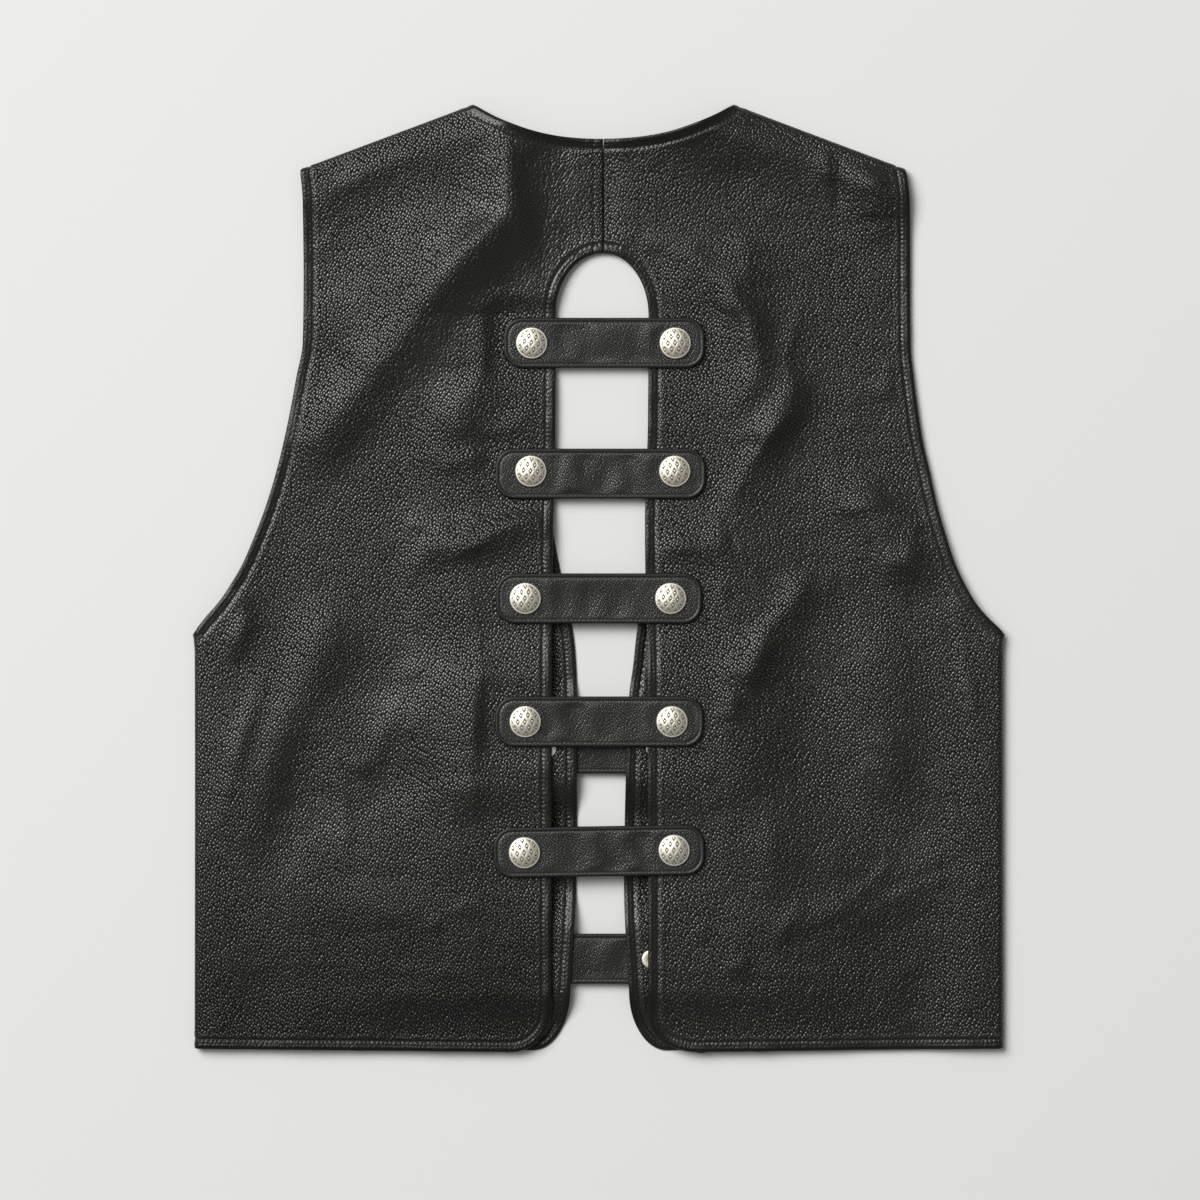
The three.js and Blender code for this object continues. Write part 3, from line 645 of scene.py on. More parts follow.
def grid_faces(rows, columns, first, flip):
    """Quads of one grid of vertices, their order turned where flip is set."""
    i, j = np.meshgrid(np.arange(rows - 1), np.arange(columns - 1), indexing="ij")
    a = first + i * columns + j
    quads = np.stack((a, a + 1, a + 1 + columns, a + columns), -1).reshape(-1, 4)
    return quads[:, ::-1] if flip else quads


def make_object(name, vertices, faces, material, attributes=None):
    """Smooth mesh object from millimetre points, with named numbers at its vertices."""
    mesh = bpy.data.meshes.new(name)
    faces = faces if isinstance(faces, list) else faces.tolist()
    mesh.from_pydata((np.asarray(vertices) * MM).tolist(), [], faces)
    mesh.validate()
    mesh.polygons.foreach_set("use_smooth", [True] * len(mesh.polygons))
    for key, values in (attributes or {}).items():
        data = mesh.attributes.new(key, "FLOAT", "POINT")
        data.data.foreach_set("value", np.asarray(values, dtype=np.float32))
    mesh.materials.append(material)
    mesh.update()
    piece = bpy.data.objects.new(name, mesh)
    bpy.context.scene.collection.objects.link(piece)
    return piece


def make_panel(name, x, y, z, lines, facing, inset, material):
    """Closed thin shell of one leather panel with turned, grooved edges."""
    rows, columns = x.shape
    free_lines = [line for key, line in lines.items() if key != "seam"]
    distance, run = edge_measure(free_lines, x, y)
    surface = np.stack((x, y, z), -1)
    normal = grid_normals(surface, facing)
    held = strap_cover(x, y) if facing > 0 else 0
    drop, swell = nose_drop(distance, NOSE_RADIUS), turned_edge(distance, inset, held)
    under_drop = nose_drop(distance, UNDER_NOSE)
    if "seam" in lines:
        to_seam = edge_measure([lines["seam"]], x, y)[0]
        drop = np.maximum(drop, nose_drop(to_seam, NOSE_RADIUS))
        swell = swell + 0.12 * np.exp(-(((to_seam - 2.2) / 1.8) ** 2))
        if lines["seam"][0, 0] < BACK_SEAM_X:
            swell = swell - SEAM_GROOVE * np.exp(-(((to_seam - inset) / 0.9) ** 2))
    outer = surface + (swell - drop)[..., None] * normal
    lining = np.clip(swell, -0.2, 0.1) if facing > 0 else swell
    inner = surface - (LEATHER - under_drop + lining)[..., None] * normal
    count = rows * columns
    flip = (x[0, 1] - x[0, 0]) * facing < 0
    faces = np.concatenate((grid_faces(rows, columns, 0, flip),
                            grid_faces(rows, columns, count, not flip)))
    at = np.arange(count).reshape(rows, columns)
    rim = np.concatenate((at[0, :], at[1:, -1], at[-1, -2::-1], at[-2:0:-1, 0]))
    after = np.roll(rim, -1)
    band = np.stack((after, rim, rim + count, after + count), -1)
    faces = np.concatenate((faces, band[:, ::-1] if flip else band))
    vertices = np.concatenate((outer.reshape(-1, 3), inner.reshape(-1, 3)))
    # Painted shade: each listed stretch carries the share by which its sheen is lowered
    taut, painted_shade = ((stretches(TAUT, x, y), stretches(PAINTED_SHADE, x, y)) if facing > 0
                  else np.zeros((2, count)))
    return make_object(name, vertices, faces, material, {
        "edge_distance": np.tile(distance.ravel() * MM, 2),
        "edge_run": np.tile(run.ravel() * MM, 2),
        "taut": np.tile(np.ravel(taut), 2), "painted_shade": np.tile(np.ravel(painted_shade), 2),
    })


def offset_line(line, inset, keep_side):
    """The line moved sideways by inset towards the given side, in plan."""
    line = line[np.concatenate(([True], np.hypot(*np.diff(line, axis=0).T) > 0.02))]
    tangent = np.gradient(line, axis=0)
    tangent /= np.linalg.norm(tangent, axis=1, keepdims=True)
    moved = line + inset * keep_side * np.stack((-tangent[:, 1], tangent[:, 0]), 1)
    return moved


def resample(line, pitch):
    """Points at equal steps of about one pitch along a line, with the direction at each."""
    lengths = np.hypot(*np.diff(line, axis=0).T)
    run = np.concatenate(([0], np.cumsum(lengths)))
    count = max(2, int(run[-1] / pitch))
    middles = (np.arange(count) + 0.5) * run[-1] / count
    x = np.interp(middles, run, line[:, 0])
    y = np.interp(middles, run, line[:, 1])
    ahead = np.stack((np.interp(middles + 0.4, run, line[:, 0]) - x,
                      np.interp(middles + 0.4, run, line[:, 1]) - y), 1)
    behind = np.stack((x - np.interp(middles - 0.4, run, line[:, 0]),
                       y - np.interp(middles - 0.4, run, line[:, 1])), 1)
    way = ahead + behind
    return x, y, way / np.maximum(np.linalg.norm(way, axis=1, keepdims=True), 1e-9)


def stitch_mesh(x, y, z, way, length, width, slant=0.1):
    """One short thread bead for each stitch, its ends dipping into the leather."""
    ring = np.linspace(0, 2 * math.pi, 6, endpoint=False)
    stations = np.array([-0.5, -0.36, 0, 0.36, 0.5])
    girth = np.array([0.35, 0.9, 1, 0.9, 0.35])
    dip = np.array([-0.55, -0.12, 0, -0.12, -0.55])
    along = np.repeat(stations * length, 6)
    across = (girth[:, None] * np.cos(ring)).ravel() * width / 2
    up = (girth[:, None] * np.sin(ring) + dip[:, None]).ravel() * width / 2
    angle = np.arctan2(way[:, 1], way[:, 0]) + slant
    cos, sin = np.cos(angle)[:, None], np.sin(angle)[:, None]
    points = np.stack((x[:, None] + along * cos - across * sin,
                       y[:, None] + along * sin + across * cos,
                       z[:, None] + up), -1)
    size = len(along)
    body = [(s * 6 + k, s * 6 + (k + 1) % 6, (s + 1) * 6 + (k + 1) % 6, (s + 1) * 6 + k)
            for s in range(4) for k in range(6)]
    caps = [(0, 3, 2, 1), (0, 5, 4, 3), (24, 25, 26, 27), (24, 27, 28, 29)]
    faces = np.array(body + caps)
    offsets = (np.arange(len(x)) * size)[:, None, None]
    return points.reshape(-1, 3), (faces[None] + offsets).reshape(-1, 4)


def strap_sag(x):
    """How far a strap sinks between its studs, where it spans the slot."""
    return STRAP_SAG * np.exp(-((x / STRAP_SAG_REACH) ** 2))


def strap_ring(length, depth):
    """Points of a strap's rounded outline drawn in by depth."""
    half_l, half_w = length / 2 - depth, STRAP_WIDTH / 2 - depth
    radius = min(max(STRAP_CORNER - depth, 0.04 * half_w + 0.01), half_w)
    straights = ((2 * (half_w - radius), END_POINTS), (2 * (half_l - radius), LONG_POINTS))
    points = []
    for k, (sx, sy, start) in enumerate(((1, -1, -90), (1, 1, 0), (-1, 1, 90), (-1, -1, 180))):
        mid_x, mid_y = sx * (half_l - radius), sy * (half_w - radius)
        for i in range(CORNER_POINTS):
            angle = math.radians(start + 90 * i / CORNER_POINTS)
            points.append((mid_x + radius * math.cos(angle), mid_y + radius * math.sin(angle)))
        size, run = straights[k % 2]
        angle = math.radians(start + 90)
        corner_x, corner_y = mid_x + radius * math.cos(angle), mid_y + radius * math.sin(angle)
        step_x, step_y = -math.sin(angle), math.cos(angle)
        points += [(corner_x + step_x * size * i / run, corner_y + step_y * size * i / run)
                   for i in range(run)]
    return np.array(points)


def srgb(hex_colour):
    """Linear colour from an sRGB hex value."""
    parts = [int(hex_colour[i:i + 2], 16) / 255 for i in (1, 3, 5)]
    return tuple(p / 12.92 if p <= 0.04045 else ((p + 0.055) / 1.055) ** 2.4 for p in parts) + (1,)


def add_node(tree, kind, inputs=None, **settings):
    """Adds a node, sets its settings, and sets its inputs or links them, a node by its
    first output."""
    node = tree.nodes.new(kind)
    for key, value in settings.items():
        setattr(node, key, value)
    for key, value in (inputs or {}).items():
        if isinstance(value, bpy.types.Node):
            value = value.outputs[0]
        if isinstance(value, bpy.types.NodeSocket):
            tree.links.new(value, node.inputs[key])
        else:
            node.inputs[key].default_value = value
    return node


def new_material(name):
    material = bpy.data.materials.new(name)
    material.use_nodes = True
    material.node_tree.nodes.clear()
    return material, material.node_tree


def pebble_leather(name, colour, pore_shade_colour, grain, depth, roughness, stitch_pitch, inset):
    """Drum-dyed cowhide with an embossed pebble grain and a semi-gloss topcoat: black pebbles
    with polished tops that glint, rougher pores between them with painted shade, smoother where
    the hide is pulled taut, and puckers along the stitches. The sheen is lowered as painted shade
    along the turned edges and in the listed stretches of painted shade. Real pebbles are too fine
    to show in the render, so they are drawn as coarse as they need to be, 1.6 mm, and longer
    along one slant. Their rows drift over 22 mm, and their depth changes over 45 mm."""
    material, tree = new_material(name)
    place = add_node(tree, "ShaderNodeTexCoord").outputs["Object"]
    distance = add_node(tree, "ShaderNodeAttribute", attribute_name="edge_distance").outputs["Fac"]
    run = add_node(tree, "ShaderNodeAttribute", attribute_name="edge_run").outputs["Fac"]
    taut = add_node(tree, "ShaderNodeAttribute", attribute_name="taut").outputs["Fac"]
    painted_shade = add_node(tree, "ShaderNodeAttribute", attribute_name="painted_shade").outputs["Fac"]

    warp = add_node(tree, "ShaderNodeTexNoise", {"Vector": place, "Scale": 45.0, "Detail": 1.0})
    shift = add_node(tree, "ShaderNodeVectorMath", {0: warp.outputs["Color"], 1: (0.5, 0.5, 0.5)},
                     operation="SUBTRACT")
    bend = add_node(tree, "ShaderNodeVectorMath", {0: shift, "Scale": 1.3 * grain},
                    operation="SCALE")
    bent = add_node(tree, "ShaderNodeVectorMath", {0: place, 1: bend}, operation="ADD")
    drawn = add_node(tree, "ShaderNodeMapping", {"Vector": bent, "Scale": (1.4, 1.0, 1.0),
                                                 "Rotation": (0.0, 0.0, math.radians(58))},
                     vector_type="TEXTURE")
    pebbles = {"Vector": drawn, "Scale": 1 / grain, "Randomness": 0.7}
    cells = add_node(tree, "ShaderNodeTexVoronoi", pebbles, feature="F1",
                     voronoi_dimensions="2D")
    rims = add_node(tree, "ShaderNodeTexVoronoi", pebbles, feature="DISTANCE_TO_EDGE",
                    voronoi_dimensions="2D")
    groove = add_node(tree, "ShaderNodeMapRange", {
        "Value": rims.outputs["Distance"], "From Min": 0.05, "From Max": 0.33,
        "To Min": 1.0, "To Max": 0.0})
    squared = add_node(tree, "ShaderNodeMath", {0: cells.outputs["Distance"], 1: 2.0},
                       operation="POWER")
    dome = add_node(tree, "ShaderNodeMath", {0: squared, 1: -1.6}, operation="MULTIPLY")

    patch = add_node(tree, "ShaderNodeTexNoise", {"Vector": place, "Scale": 22.0, "Detail": 3.0})
    amount = add_node(tree, "ShaderNodeMapRange", {
        "Value": patch.outputs["Fac"], "From Min": 0.35, "From Max": 0.65,
        "To Min": 0.75, "To Max": 1.15})
    pulled = add_node(tree, "ShaderNodeMapRange", {
        "Value": distance, "From Min": inset * 0.7, "From Max": inset * 1.7,
        "To Min": 0.3, "To Max": 1.0})
    slack = add_node(tree, "ShaderNodeMath", {0: taut, 1: -0.5, 2: 1.0}, operation="MULTIPLY_ADD")
    relaxed = add_node(tree, "ShaderNodeMath", {0: slack, 1: pulled}, operation="MULTIPLY")
    grainy = add_node(tree, "ShaderNodeMath", {0: amount, 1: relaxed}, operation="MULTIPLY")
    relief = add_node(tree, "ShaderNodeMath", {0: dome, 1: grainy}, operation="MULTIPLY")

    off_line = add_node(tree, "ShaderNodeMath", {0: distance, 1: 1 / (inset * 0.17),
                                                 2: -0.84 / 0.17}, operation="MULTIPLY_ADD")
    off_squared = add_node(tree, "ShaderNodeMath", {0: off_line, 1: off_line},
                           operation="MULTIPLY")
    fall = add_node(tree, "ShaderNodeMath", {0: off_squared, 1: -1.0}, operation="MULTIPLY")
    band = add_node(tree, "ShaderNodeMath", {0: fall}, operation="EXPONENT")
    turns = add_node(tree, "ShaderNodeMath", {0: run, 1: 2 * math.pi / stitch_pitch},
                     operation="MULTIPLY")
    beat = add_node(tree, "ShaderNodeMath", {0: turns}, operation="COSINE")
    pucker = add_node(tree, "ShaderNodeMath", {0: beat, 1: band}, operation="MULTIPLY")
    raised = add_node(tree, "ShaderNodeMath", {0: pucker, 1: 0.12, 2: relief},
                      operation="MULTIPLY_ADD")
    bump = add_node(tree, "ShaderNodeBump", {"Height": raised, "Distance": depth,
                                             "Strength": 1.0})

    pore = add_node(tree, "ShaderNodeMath", {0: groove, 1: relaxed}, operation="MULTIPLY")
    polish = add_node(tree, "ShaderNodeMath", {0: taut, 1: -0.38 * roughness, 2: roughness},
                      operation="MULTIPLY_ADD")
    rough = add_node(tree, "ShaderNodeMath", {0: pore, 1: 0.2, 2: polish},
                     operation="MULTIPLY_ADD")
    # Painted shade in the pores: their specular level is lowered
    gloss = add_node(tree, "ShaderNodeMath", {0: pore, 1: -0.82, 2: 0.94},
                     operation="MULTIPLY_ADD")
    # Painted shade along the turned edges: the sheen falls towards each edge
    edge_shaded_gloss = add_node(tree, "ShaderNodeMapRange", {
        "Value": distance, "From Min": inset * 0.4, "From Max": inset * 1.3,
        "To Min": 0.42, "To Max": 1.0})
    # Painted shade: the sheen is lowered in the listed stretches and along the turned edges
    kept = add_node(tree, "ShaderNodeMath", {0: 1.0, 1: painted_shade}, operation="SUBTRACT")
    topcoat = add_node(tree, "ShaderNodeMath", {0: kept, 1: edge_shaded_gloss}, operation="MULTIPLY")
    sheen = add_node(tree, "ShaderNodeMath", {0: gloss, 1: topcoat}, operation="MULTIPLY")
    # Painted shade in the pores: their colour is darker
    tone = add_node(tree, "ShaderNodeMix", {0: pore, 6: colour, 7: pore_shade_colour},
                    data_type="RGBA")
    surface = add_node(tree, "ShaderNodeBsdfPrincipled", {
        "Base Color": tone.outputs[2], "Roughness": rough, "Normal": bump, "IOR": 1.55,
        "Specular IOR Level": sheen, "Specular Tint": srgb("#fcfff9")})
    add_node(tree, "ShaderNodeOutputMaterial", {"Surface": surface})
    return material


def nickel_plate(name, colour, recess_shade_colour):
    """Nickel-plated brass, die-struck and polished: warm pale metal, rougher in the recesses of the
    lattice, whose darker colour there is painted shade. The polish's haze is 1.1 mm across."""
    material, tree = new_material(name)
    place = add_node(tree, "ShaderNodeTexCoord").outputs["Object"]
    recess = add_node(tree, "ShaderNodeAttribute", attribute_name="recess").outputs["Fac"]
    haze = add_node(tree, "ShaderNodeTexNoise", {"Vector": place, "Scale": 900.0, "Detail": 2.0})
    # Painted shade: the recesses of the lattice take a dark brown
    tone = add_node(tree, "ShaderNodeMix", {0: recess, 6: colour, 7: recess_shade_colour},
                    data_type="RGBA")
    polish = add_node(tree, "ShaderNodeMapRange", {
        "Value": haze.outputs["Fac"], "From Min": 0.3, "From Max": 0.7,
        "To Min": 0.44, "To Max": 0.54})
    rough = add_node(tree, "ShaderNodeMath", {0: recess, 1: 0.2, 2: polish},
                     operation="MULTIPLY_ADD")
    bump = add_node(tree, "ShaderNodeBump", {
        "Height": haze.outputs["Fac"], "Distance": 0.00003, "Strength": 0.5})
    surface = add_node(tree, "ShaderNodeBsdfPrincipled", {
        "Base Color": tone.outputs[2], "Roughness": rough, "Metallic": 1.0, "Normal": bump})
    add_node(tree, "ShaderNodeOutputMaterial", {"Surface": surface})
    return material


def nylon_thread(name, colour):
    """Bonded nylon thread, three plies of 0.3 mm twisted: black with a low waxy sheen."""
    material, tree = new_material(name)
    place = add_node(tree, "ShaderNodeTexCoord").outputs["Object"]
    plies = add_node(tree, "ShaderNodeTexNoise", {"Vector": place, "Scale": 3500.0, "Detail": 1.0})
    bump = add_node(tree, "ShaderNodeBump", {
        "Height": plies.outputs["Fac"], "Distance": 0.0001, "Strength": 0.6})
    surface = add_node(tree, "ShaderNodeBsdfPrincipled", {
        "Base Color": colour, "Roughness": 0.5, "Normal": bump, "IOR": 1.53})
    add_node(tree, "ShaderNodeOutputMaterial", {"Surface": surface})
    return material


def matte_paper(name, colour):
    """Uncoated studio backdrop paper: pale, without gloss, with a faint tooth 0.8 mm across."""
    material, tree = new_material(name)
    place = add_node(tree, "ShaderNodeTexCoord").outputs["Object"]
    tooth = add_node(tree, "ShaderNodeTexNoise", {"Vector": place, "Scale": 1200.0, "Detail": 2.0})
    bump = add_node(tree, "ShaderNodeBump", {
        "Height": tooth.outputs["Fac"], "Distance": 0.00002, "Strength": 0.3})
    surface = add_node(tree, "ShaderNodeBsdfPrincipled", {
        "Base Color": colour, "Roughness": 0.95, "Normal": bump, "Specular IOR Level": 0.1})
    add_node(tree, "ShaderNodeOutputMaterial", {"Surface": surface})
    return material


class VestSizes(bpy.types.PropertyGroup):
    """Sizes that a maker of another vest would change."""
    stitch_pitch: bpy.props.FloatProperty(
        name="Stitch pitch", description="Distance from one stitch to the next",
        default=0.0028, min=0.001, max=0.01, unit="LENGTH")
    stitch_inset: bpy.props.FloatProperty(
        name="Topstitch inset", description="Distance of the topstitch from a panel's edge",
        default=0.0064, min=0.002, max=0.02, unit="LENGTH")
    strap_inset: bpy.props.FloatProperty(
        name="Strap stitch inset", description="Distance of the stitches from a strap's edge",
        default=0.0029, min=0.001, max=0.01, unit="LENGTH")
    thread_width: bpy.props.FloatProperty(
        name="Thread width", description="Thickness of the sewing thread",
        default=0.0006, min=0.0002, max=0.002, unit="LENGTH")
    grain: bpy.props.FloatProperty(
        name="Grain", description="Size of one pebble of the leather's grain",
        default=0.0016, min=0.0004, max=0.005, unit="LENGTH")
    mesh_step: bpy.props.FloatProperty(
        name="Mesh step", description="Distance between the points of a panel's mesh",
        default=0.0027, min=0.002, max=0.02, unit="LENGTH")
    lattice: bpy.props.FloatProperty(
        name="Stud lattice", description="Width of one diamond of the lattice on the studs",
        default=0.0048, min=0.002, max=0.01, unit="LENGTH")


class VestColours(bpy.types.PropertyGroup):
    """Colours of the vest and its stage."""
    leather: bpy.props.FloatVectorProperty(
        name="Leather", description="Black of the panels", subtype="COLOR", size=4,
        default=srgb("#121311"), min=0, max=1)
    # Painted shade between the pebbles
    leather_pore_shade: bpy.props.FloatVectorProperty(
        name="Leather creases", description="Black between the pebbles", subtype="COLOR", size=4,
        default=srgb("#0f100f"), min=0, max=1)
    strap: bpy.props.FloatVectorProperty(
        name="Strap leather", description="Black of the straps", subtype="COLOR", size=4,
        default=srgb("#161716"), min=0, max=1)
    nickel: bpy.props.FloatVectorProperty(
        name="Nickel", description="Plating of the studs", subtype="COLOR", size=4,
        default=srgb("#eae6d6"), min=0, max=1)
    # Painted shade in the recesses of the stud lattice
    nickel_recess_shade: bpy.props.FloatVectorProperty(
        name="Nickel recesses", description="Plating in the recesses of the lattice",
        subtype="COLOR", size=4, default=srgb("#5b523c"), min=0, max=1)
    thread: bpy.props.FloatVectorProperty(
        name="Thread", description="Sewing thread", subtype="COLOR", size=4,
        default=srgb("#121211"), min=0, max=1)
    floor: bpy.props.FloatVectorProperty(
        name="Backdrop", description="Paper under the vest", subtype="COLOR", size=4,
        default=srgb("#e6e6e5"), min=0, max=1)


def sizes():
    return bpy.context.scene.vest_sizes


def colours():
    return bpy.context.scene.vest_colours


def material_for(name):
    """The named finish, made the first time that it is asked for."""
    made = bpy.data.materials.get(name)
    if made:
        return made
    s, c = sizes(), colours()
    if name == "pebble_grain_cowhide":
        return pebble_leather(name, tuple(c.leather), tuple(c.leather_pore_shade), s.grain,
                              *PANEL_GRAIN, s.stitch_pitch, s.stitch_inset)
    if name == "smooth_grain_strap_cowhide":
        return pebble_leather(name, tuple(c.strap), tuple(c.leather_pore_shade), 0.8 * s.grain,
                              *STRAP_GRAIN, s.stitch_pitch, s.strap_inset)
    if name == "polished_nickel_plate":
        return nickel_plate(name, tuple(c.nickel), tuple(c.nickel_recess_shade))
    if name == "bonded_nylon_thread":
        return nylon_thread(name, tuple(c.thread))
    if name == "uncoated_backdrop_paper":
        return matte_paper(name, tuple(c.floor))
    raise RuntimeError(f"no finish called {name}")


def settle(piece, slot_name, *nodes):
    """Puts a finished piece in its CAD node's place."""
    for node in nodes:
        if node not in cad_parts:
            raise RuntimeError(f"the frame has no node {node}")
    if nodes:
        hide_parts(*nodes)
    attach(piece, "root")


def neck_bridge(side, x, y):
    """Lift of the right back half, which bridges the gap between the fronts under the neck."""
    if side == "left":
        return 0
    beyond_front = np.abs(front_inner_edge(side, y)) - np.abs(x)
    over_front = ease((NECK_DROP[1] - beyond_front) / (NECK_DROP[1] - NECK_DROP[0]))
    return (LIE - LIE_ON_TABLE) * (1 - over_front) * ease((x - 3) / 14) * ease((y - 205) / 25)


def surface_height(side, x, y, part):
    if part == "back":
        return back_height(side, x, y) + loose_relief(side, x, y) + neck_bridge(side, x, y)
    return front_height(side, x, y)


def panel_stitches(name, side, part, lines, inset, facing):
    """Stitches along every free edge line of a panel, as one piece."""
    s = sizes()
    width = s.thread_width / MM
    parts = []
    for key, line in lines.items():
        if key == "seam" and side == "right":
            continue
        path = offset_line(line, inset, outward(side) * (1 if key == "armhole" else -1))
        if key == "seam":
            path = line + np.array([outward(side) * inset, 0])
        x, y, way = resample(path, s.stitch_pitch / MM)
        distance = edge_measure([v for k, v in lines.items() if k != "seam"], x, y)[0]
        keep = (distance > 0.9 * inset) if key != "seam" else np.ones(len(x), bool)
        x, y, way, distance = x[keep], y[keep], way[keep], distance[keep]
        held = strap_cover(x, y) if part == "back" else 0
        z = surface_height(side, x, y, part) + facing * (turned_edge(distance, inset, held) + 0.1)
        if key == "seam":
            z = z - SEAM_GROOVE
        parts.append((x, y, z, way))
    x, y, z = (np.concatenate([p[i] for p in parts]) for i in range(3))
    way = np.concatenate([p[3] for p in parts])
    points, faces = stitch_mesh(x, y, z, way, 0.78 * s.stitch_pitch / MM, width)
    piece = make_object(name, points, faces, material_for("bonded_nylon_thread"))
    settle(piece, "leather")
    return piece


class VEST_OT_back_halves(bpy.types.Operator):
    """Add both back halves with their creases, turned edges and topstitching"""
    bl_idname = "vest.back_halves"
    bl_label = "Back Halves"

    def execute(self, context):
        step, inset = sizes().mesh_step / MM, sizes().stitch_inset / MM
        for side in SIDES:
            x, y, lines = back_grid(side, step)
            z = surface_height(side, x, y, "back")
            piece = make_panel(f"back_{side}_leather", x, y, z, lines, 1, inset,
                               material_for("pebble_grain_cowhide"))
            settle(piece, "leather", f"back_{side}")
            stitches = panel_stitches(f"back_{side}_topstitch", side, "back", lines, inset, 1)
        return {"FINISHED"}


class VEST_OT_front_halves(bpy.types.Operator):
    """Add both front halves, which lie face down under the back"""
    bl_idname = "vest.front_halves"
    bl_label = "Front Halves"

    def execute(self, context):
        step, inset = 1.35 * sizes().mesh_step / MM, sizes().stitch_inset / MM
        for side in SIDES:
            x, y, lines = front_grid(side, step)
            z = surface_height(side, x, y, "front")
            piece = make_panel(f"front_{side}_leather", x, y, z, lines, -1, inset,
                               material_for("pebble_grain_cowhide"))
            settle(piece, "leather", f"front_{side}")
            stitches = panel_stitches(f"front_{side}_topstitch", side, "front", lines, inset, -1)
        return {"FINISHED"}


class VEST_OT_straps(bpy.types.Operator):
    """Add the two-ply straps with their stitched, rounded edges"""
    bl_idname = "vest.straps"
    bl_label = "Straps"

    def execute(self, context):
        names = [f"back_strap_{n}" for n in range(1, 6)] + ["front_strap_1", "front_strap_2"]
        for name in names:
            self.make_strap(name)
        return {"FINISHED"}

    def make_strap(self, name):
        s = sizes()
        low, high = (np.array(v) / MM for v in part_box(name))
        middle = (low + high) / 2
        length = high[0] - low[0]
        tilt = math.radians(0.9) if name == "back_strap_5" else 0.0
        inset = s.strap_inset / MM
        depths = [0, 0.08, 0.25, 0.5, 0.8, 1.2, 1.7, 2.2, 2.6, 2.9, 3.2, 3.6, 4.2, 5.2, 6.6, 8.5,
                  10.8, 13.4, 15.2, 16.3]
        rings = [strap_ring(length, d) for d in depths]
        outline = np.array(rings)
        number = outline.shape[1]
        depth = np.repeat(depths, number).reshape(len(depths), number)
        x, y = outline[..., 0], outline[..., 1]
        drop = nose_drop(depth, NOSE_RADIUS)
        bead = 0.2 * np.exp(-(((depth - 1.5) / 0.75) ** 2))
        groove = 0.3 * np.exp(-(((depth - inset) / 0.55) ** 2))
        seed = sum(ord(letter) for letter in name)
        stud = name.replace("strap", "stud")
        clear = 1
        for side in SIDES:
            stud_x = sum(v[0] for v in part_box(f"{stud}_{side}")) / 2 / MM - middle[0]
            clear = clear * ease((np.hypot(x - stud_x, y) - CAP_RADIUS) / 9)
        uneven = undulation(x, 0.45 * y, 21, seed) * ease((depth - 2.6) / 5) * clear
        sag = strap_sag(x)
        top = STRAP_THICK - drop + bead - groove + uneven - sag
        bottom = drop * 0.9 - sag + 0.02
        cos, sin = math.cos(tilt), math.sin(tilt)
        place_x = middle[0] + x * cos - y * sin
        place_y = middle[1] + x * sin + y * cos
        upper = np.stack((place_x, place_y, low[2] + top), -1)
        lower = np.stack((place_x, place_y, low[2] + bottom), -1)
        total = outline.shape[0] * number
        faces = []
        k = np.arange(number)
        after = (k + 1) % number
        for ring in range(len(depths) - 1):
            a, b = ring * number, (ring + 1) * number
            faces.append(np.stack((a + k, a + after, b + after, b + k), -1))
            faces.append(np.stack((total + a + k, total + b + k, total + b + after,
                                   total + a + after), -1))
        faces.append(np.stack((k, total + k, total + after, after), -1))
        last = (len(depths) - 1) * number
        half = number // 2
        pairs = np.arange(half)
        # The last ring is closed by quads across it, from the middle of its short side
        start = CORNER_POINTS + END_POINTS // 2
        top_cap = np.stack((last + (start + pairs) % number, last + (start + pairs + 1) % number,
                            last + (start - pairs - 2) % number,
                            last + (start - pairs - 1) % number), -1)[:half - 1]
        faces.append(top_cap)
        faces.append(total + top_cap[:, ::-1])
        ring_run = np.concatenate(([0], np.cumsum(np.hypot(*np.diff(rings[depths.index(2.9)], axis=0).T))))
        run = np.tile(ring_run, len(depths))
        vertices = np.concatenate((upper.reshape(-1, 3), lower.reshape(-1, 3)))
        piece = make_object(f"{name}_leather", vertices, np.concatenate(faces),
                            material_for("smooth_grain_strap_cowhide"),
                            {"edge_distance": np.tile(depth.ravel() * MM, 2),
                             "edge_run": np.tile(run * MM, 2),
                             "taut": np.full(len(vertices), 0.15)})
        settle(piece, "strap_leather", name)
        line = strap_ring(length, inset)
        line = np.concatenate((line, line[:1]))
        px, py, way = resample(line, s.stitch_pitch / MM)
        turned = np.stack((way[:, 0] * cos - way[:, 1] * sin, way[:, 0] * sin + way[:, 1] * cos), 1)
        pz = low[2] + STRAP_THICK - 0.26 - strap_sag(px)
        points, beads = stitch_mesh(middle[0] + px * cos - py * sin, middle[1] + px * sin + py * cos,
                                    pz, turned, 0.74 * s.stitch_pitch / MM, s.thread_width / MM)
        thread = make_object(f"{name}_stitches", points, beads,
                             material_for("bonded_nylon_thread"))
        settle(thread, "strap_leather")


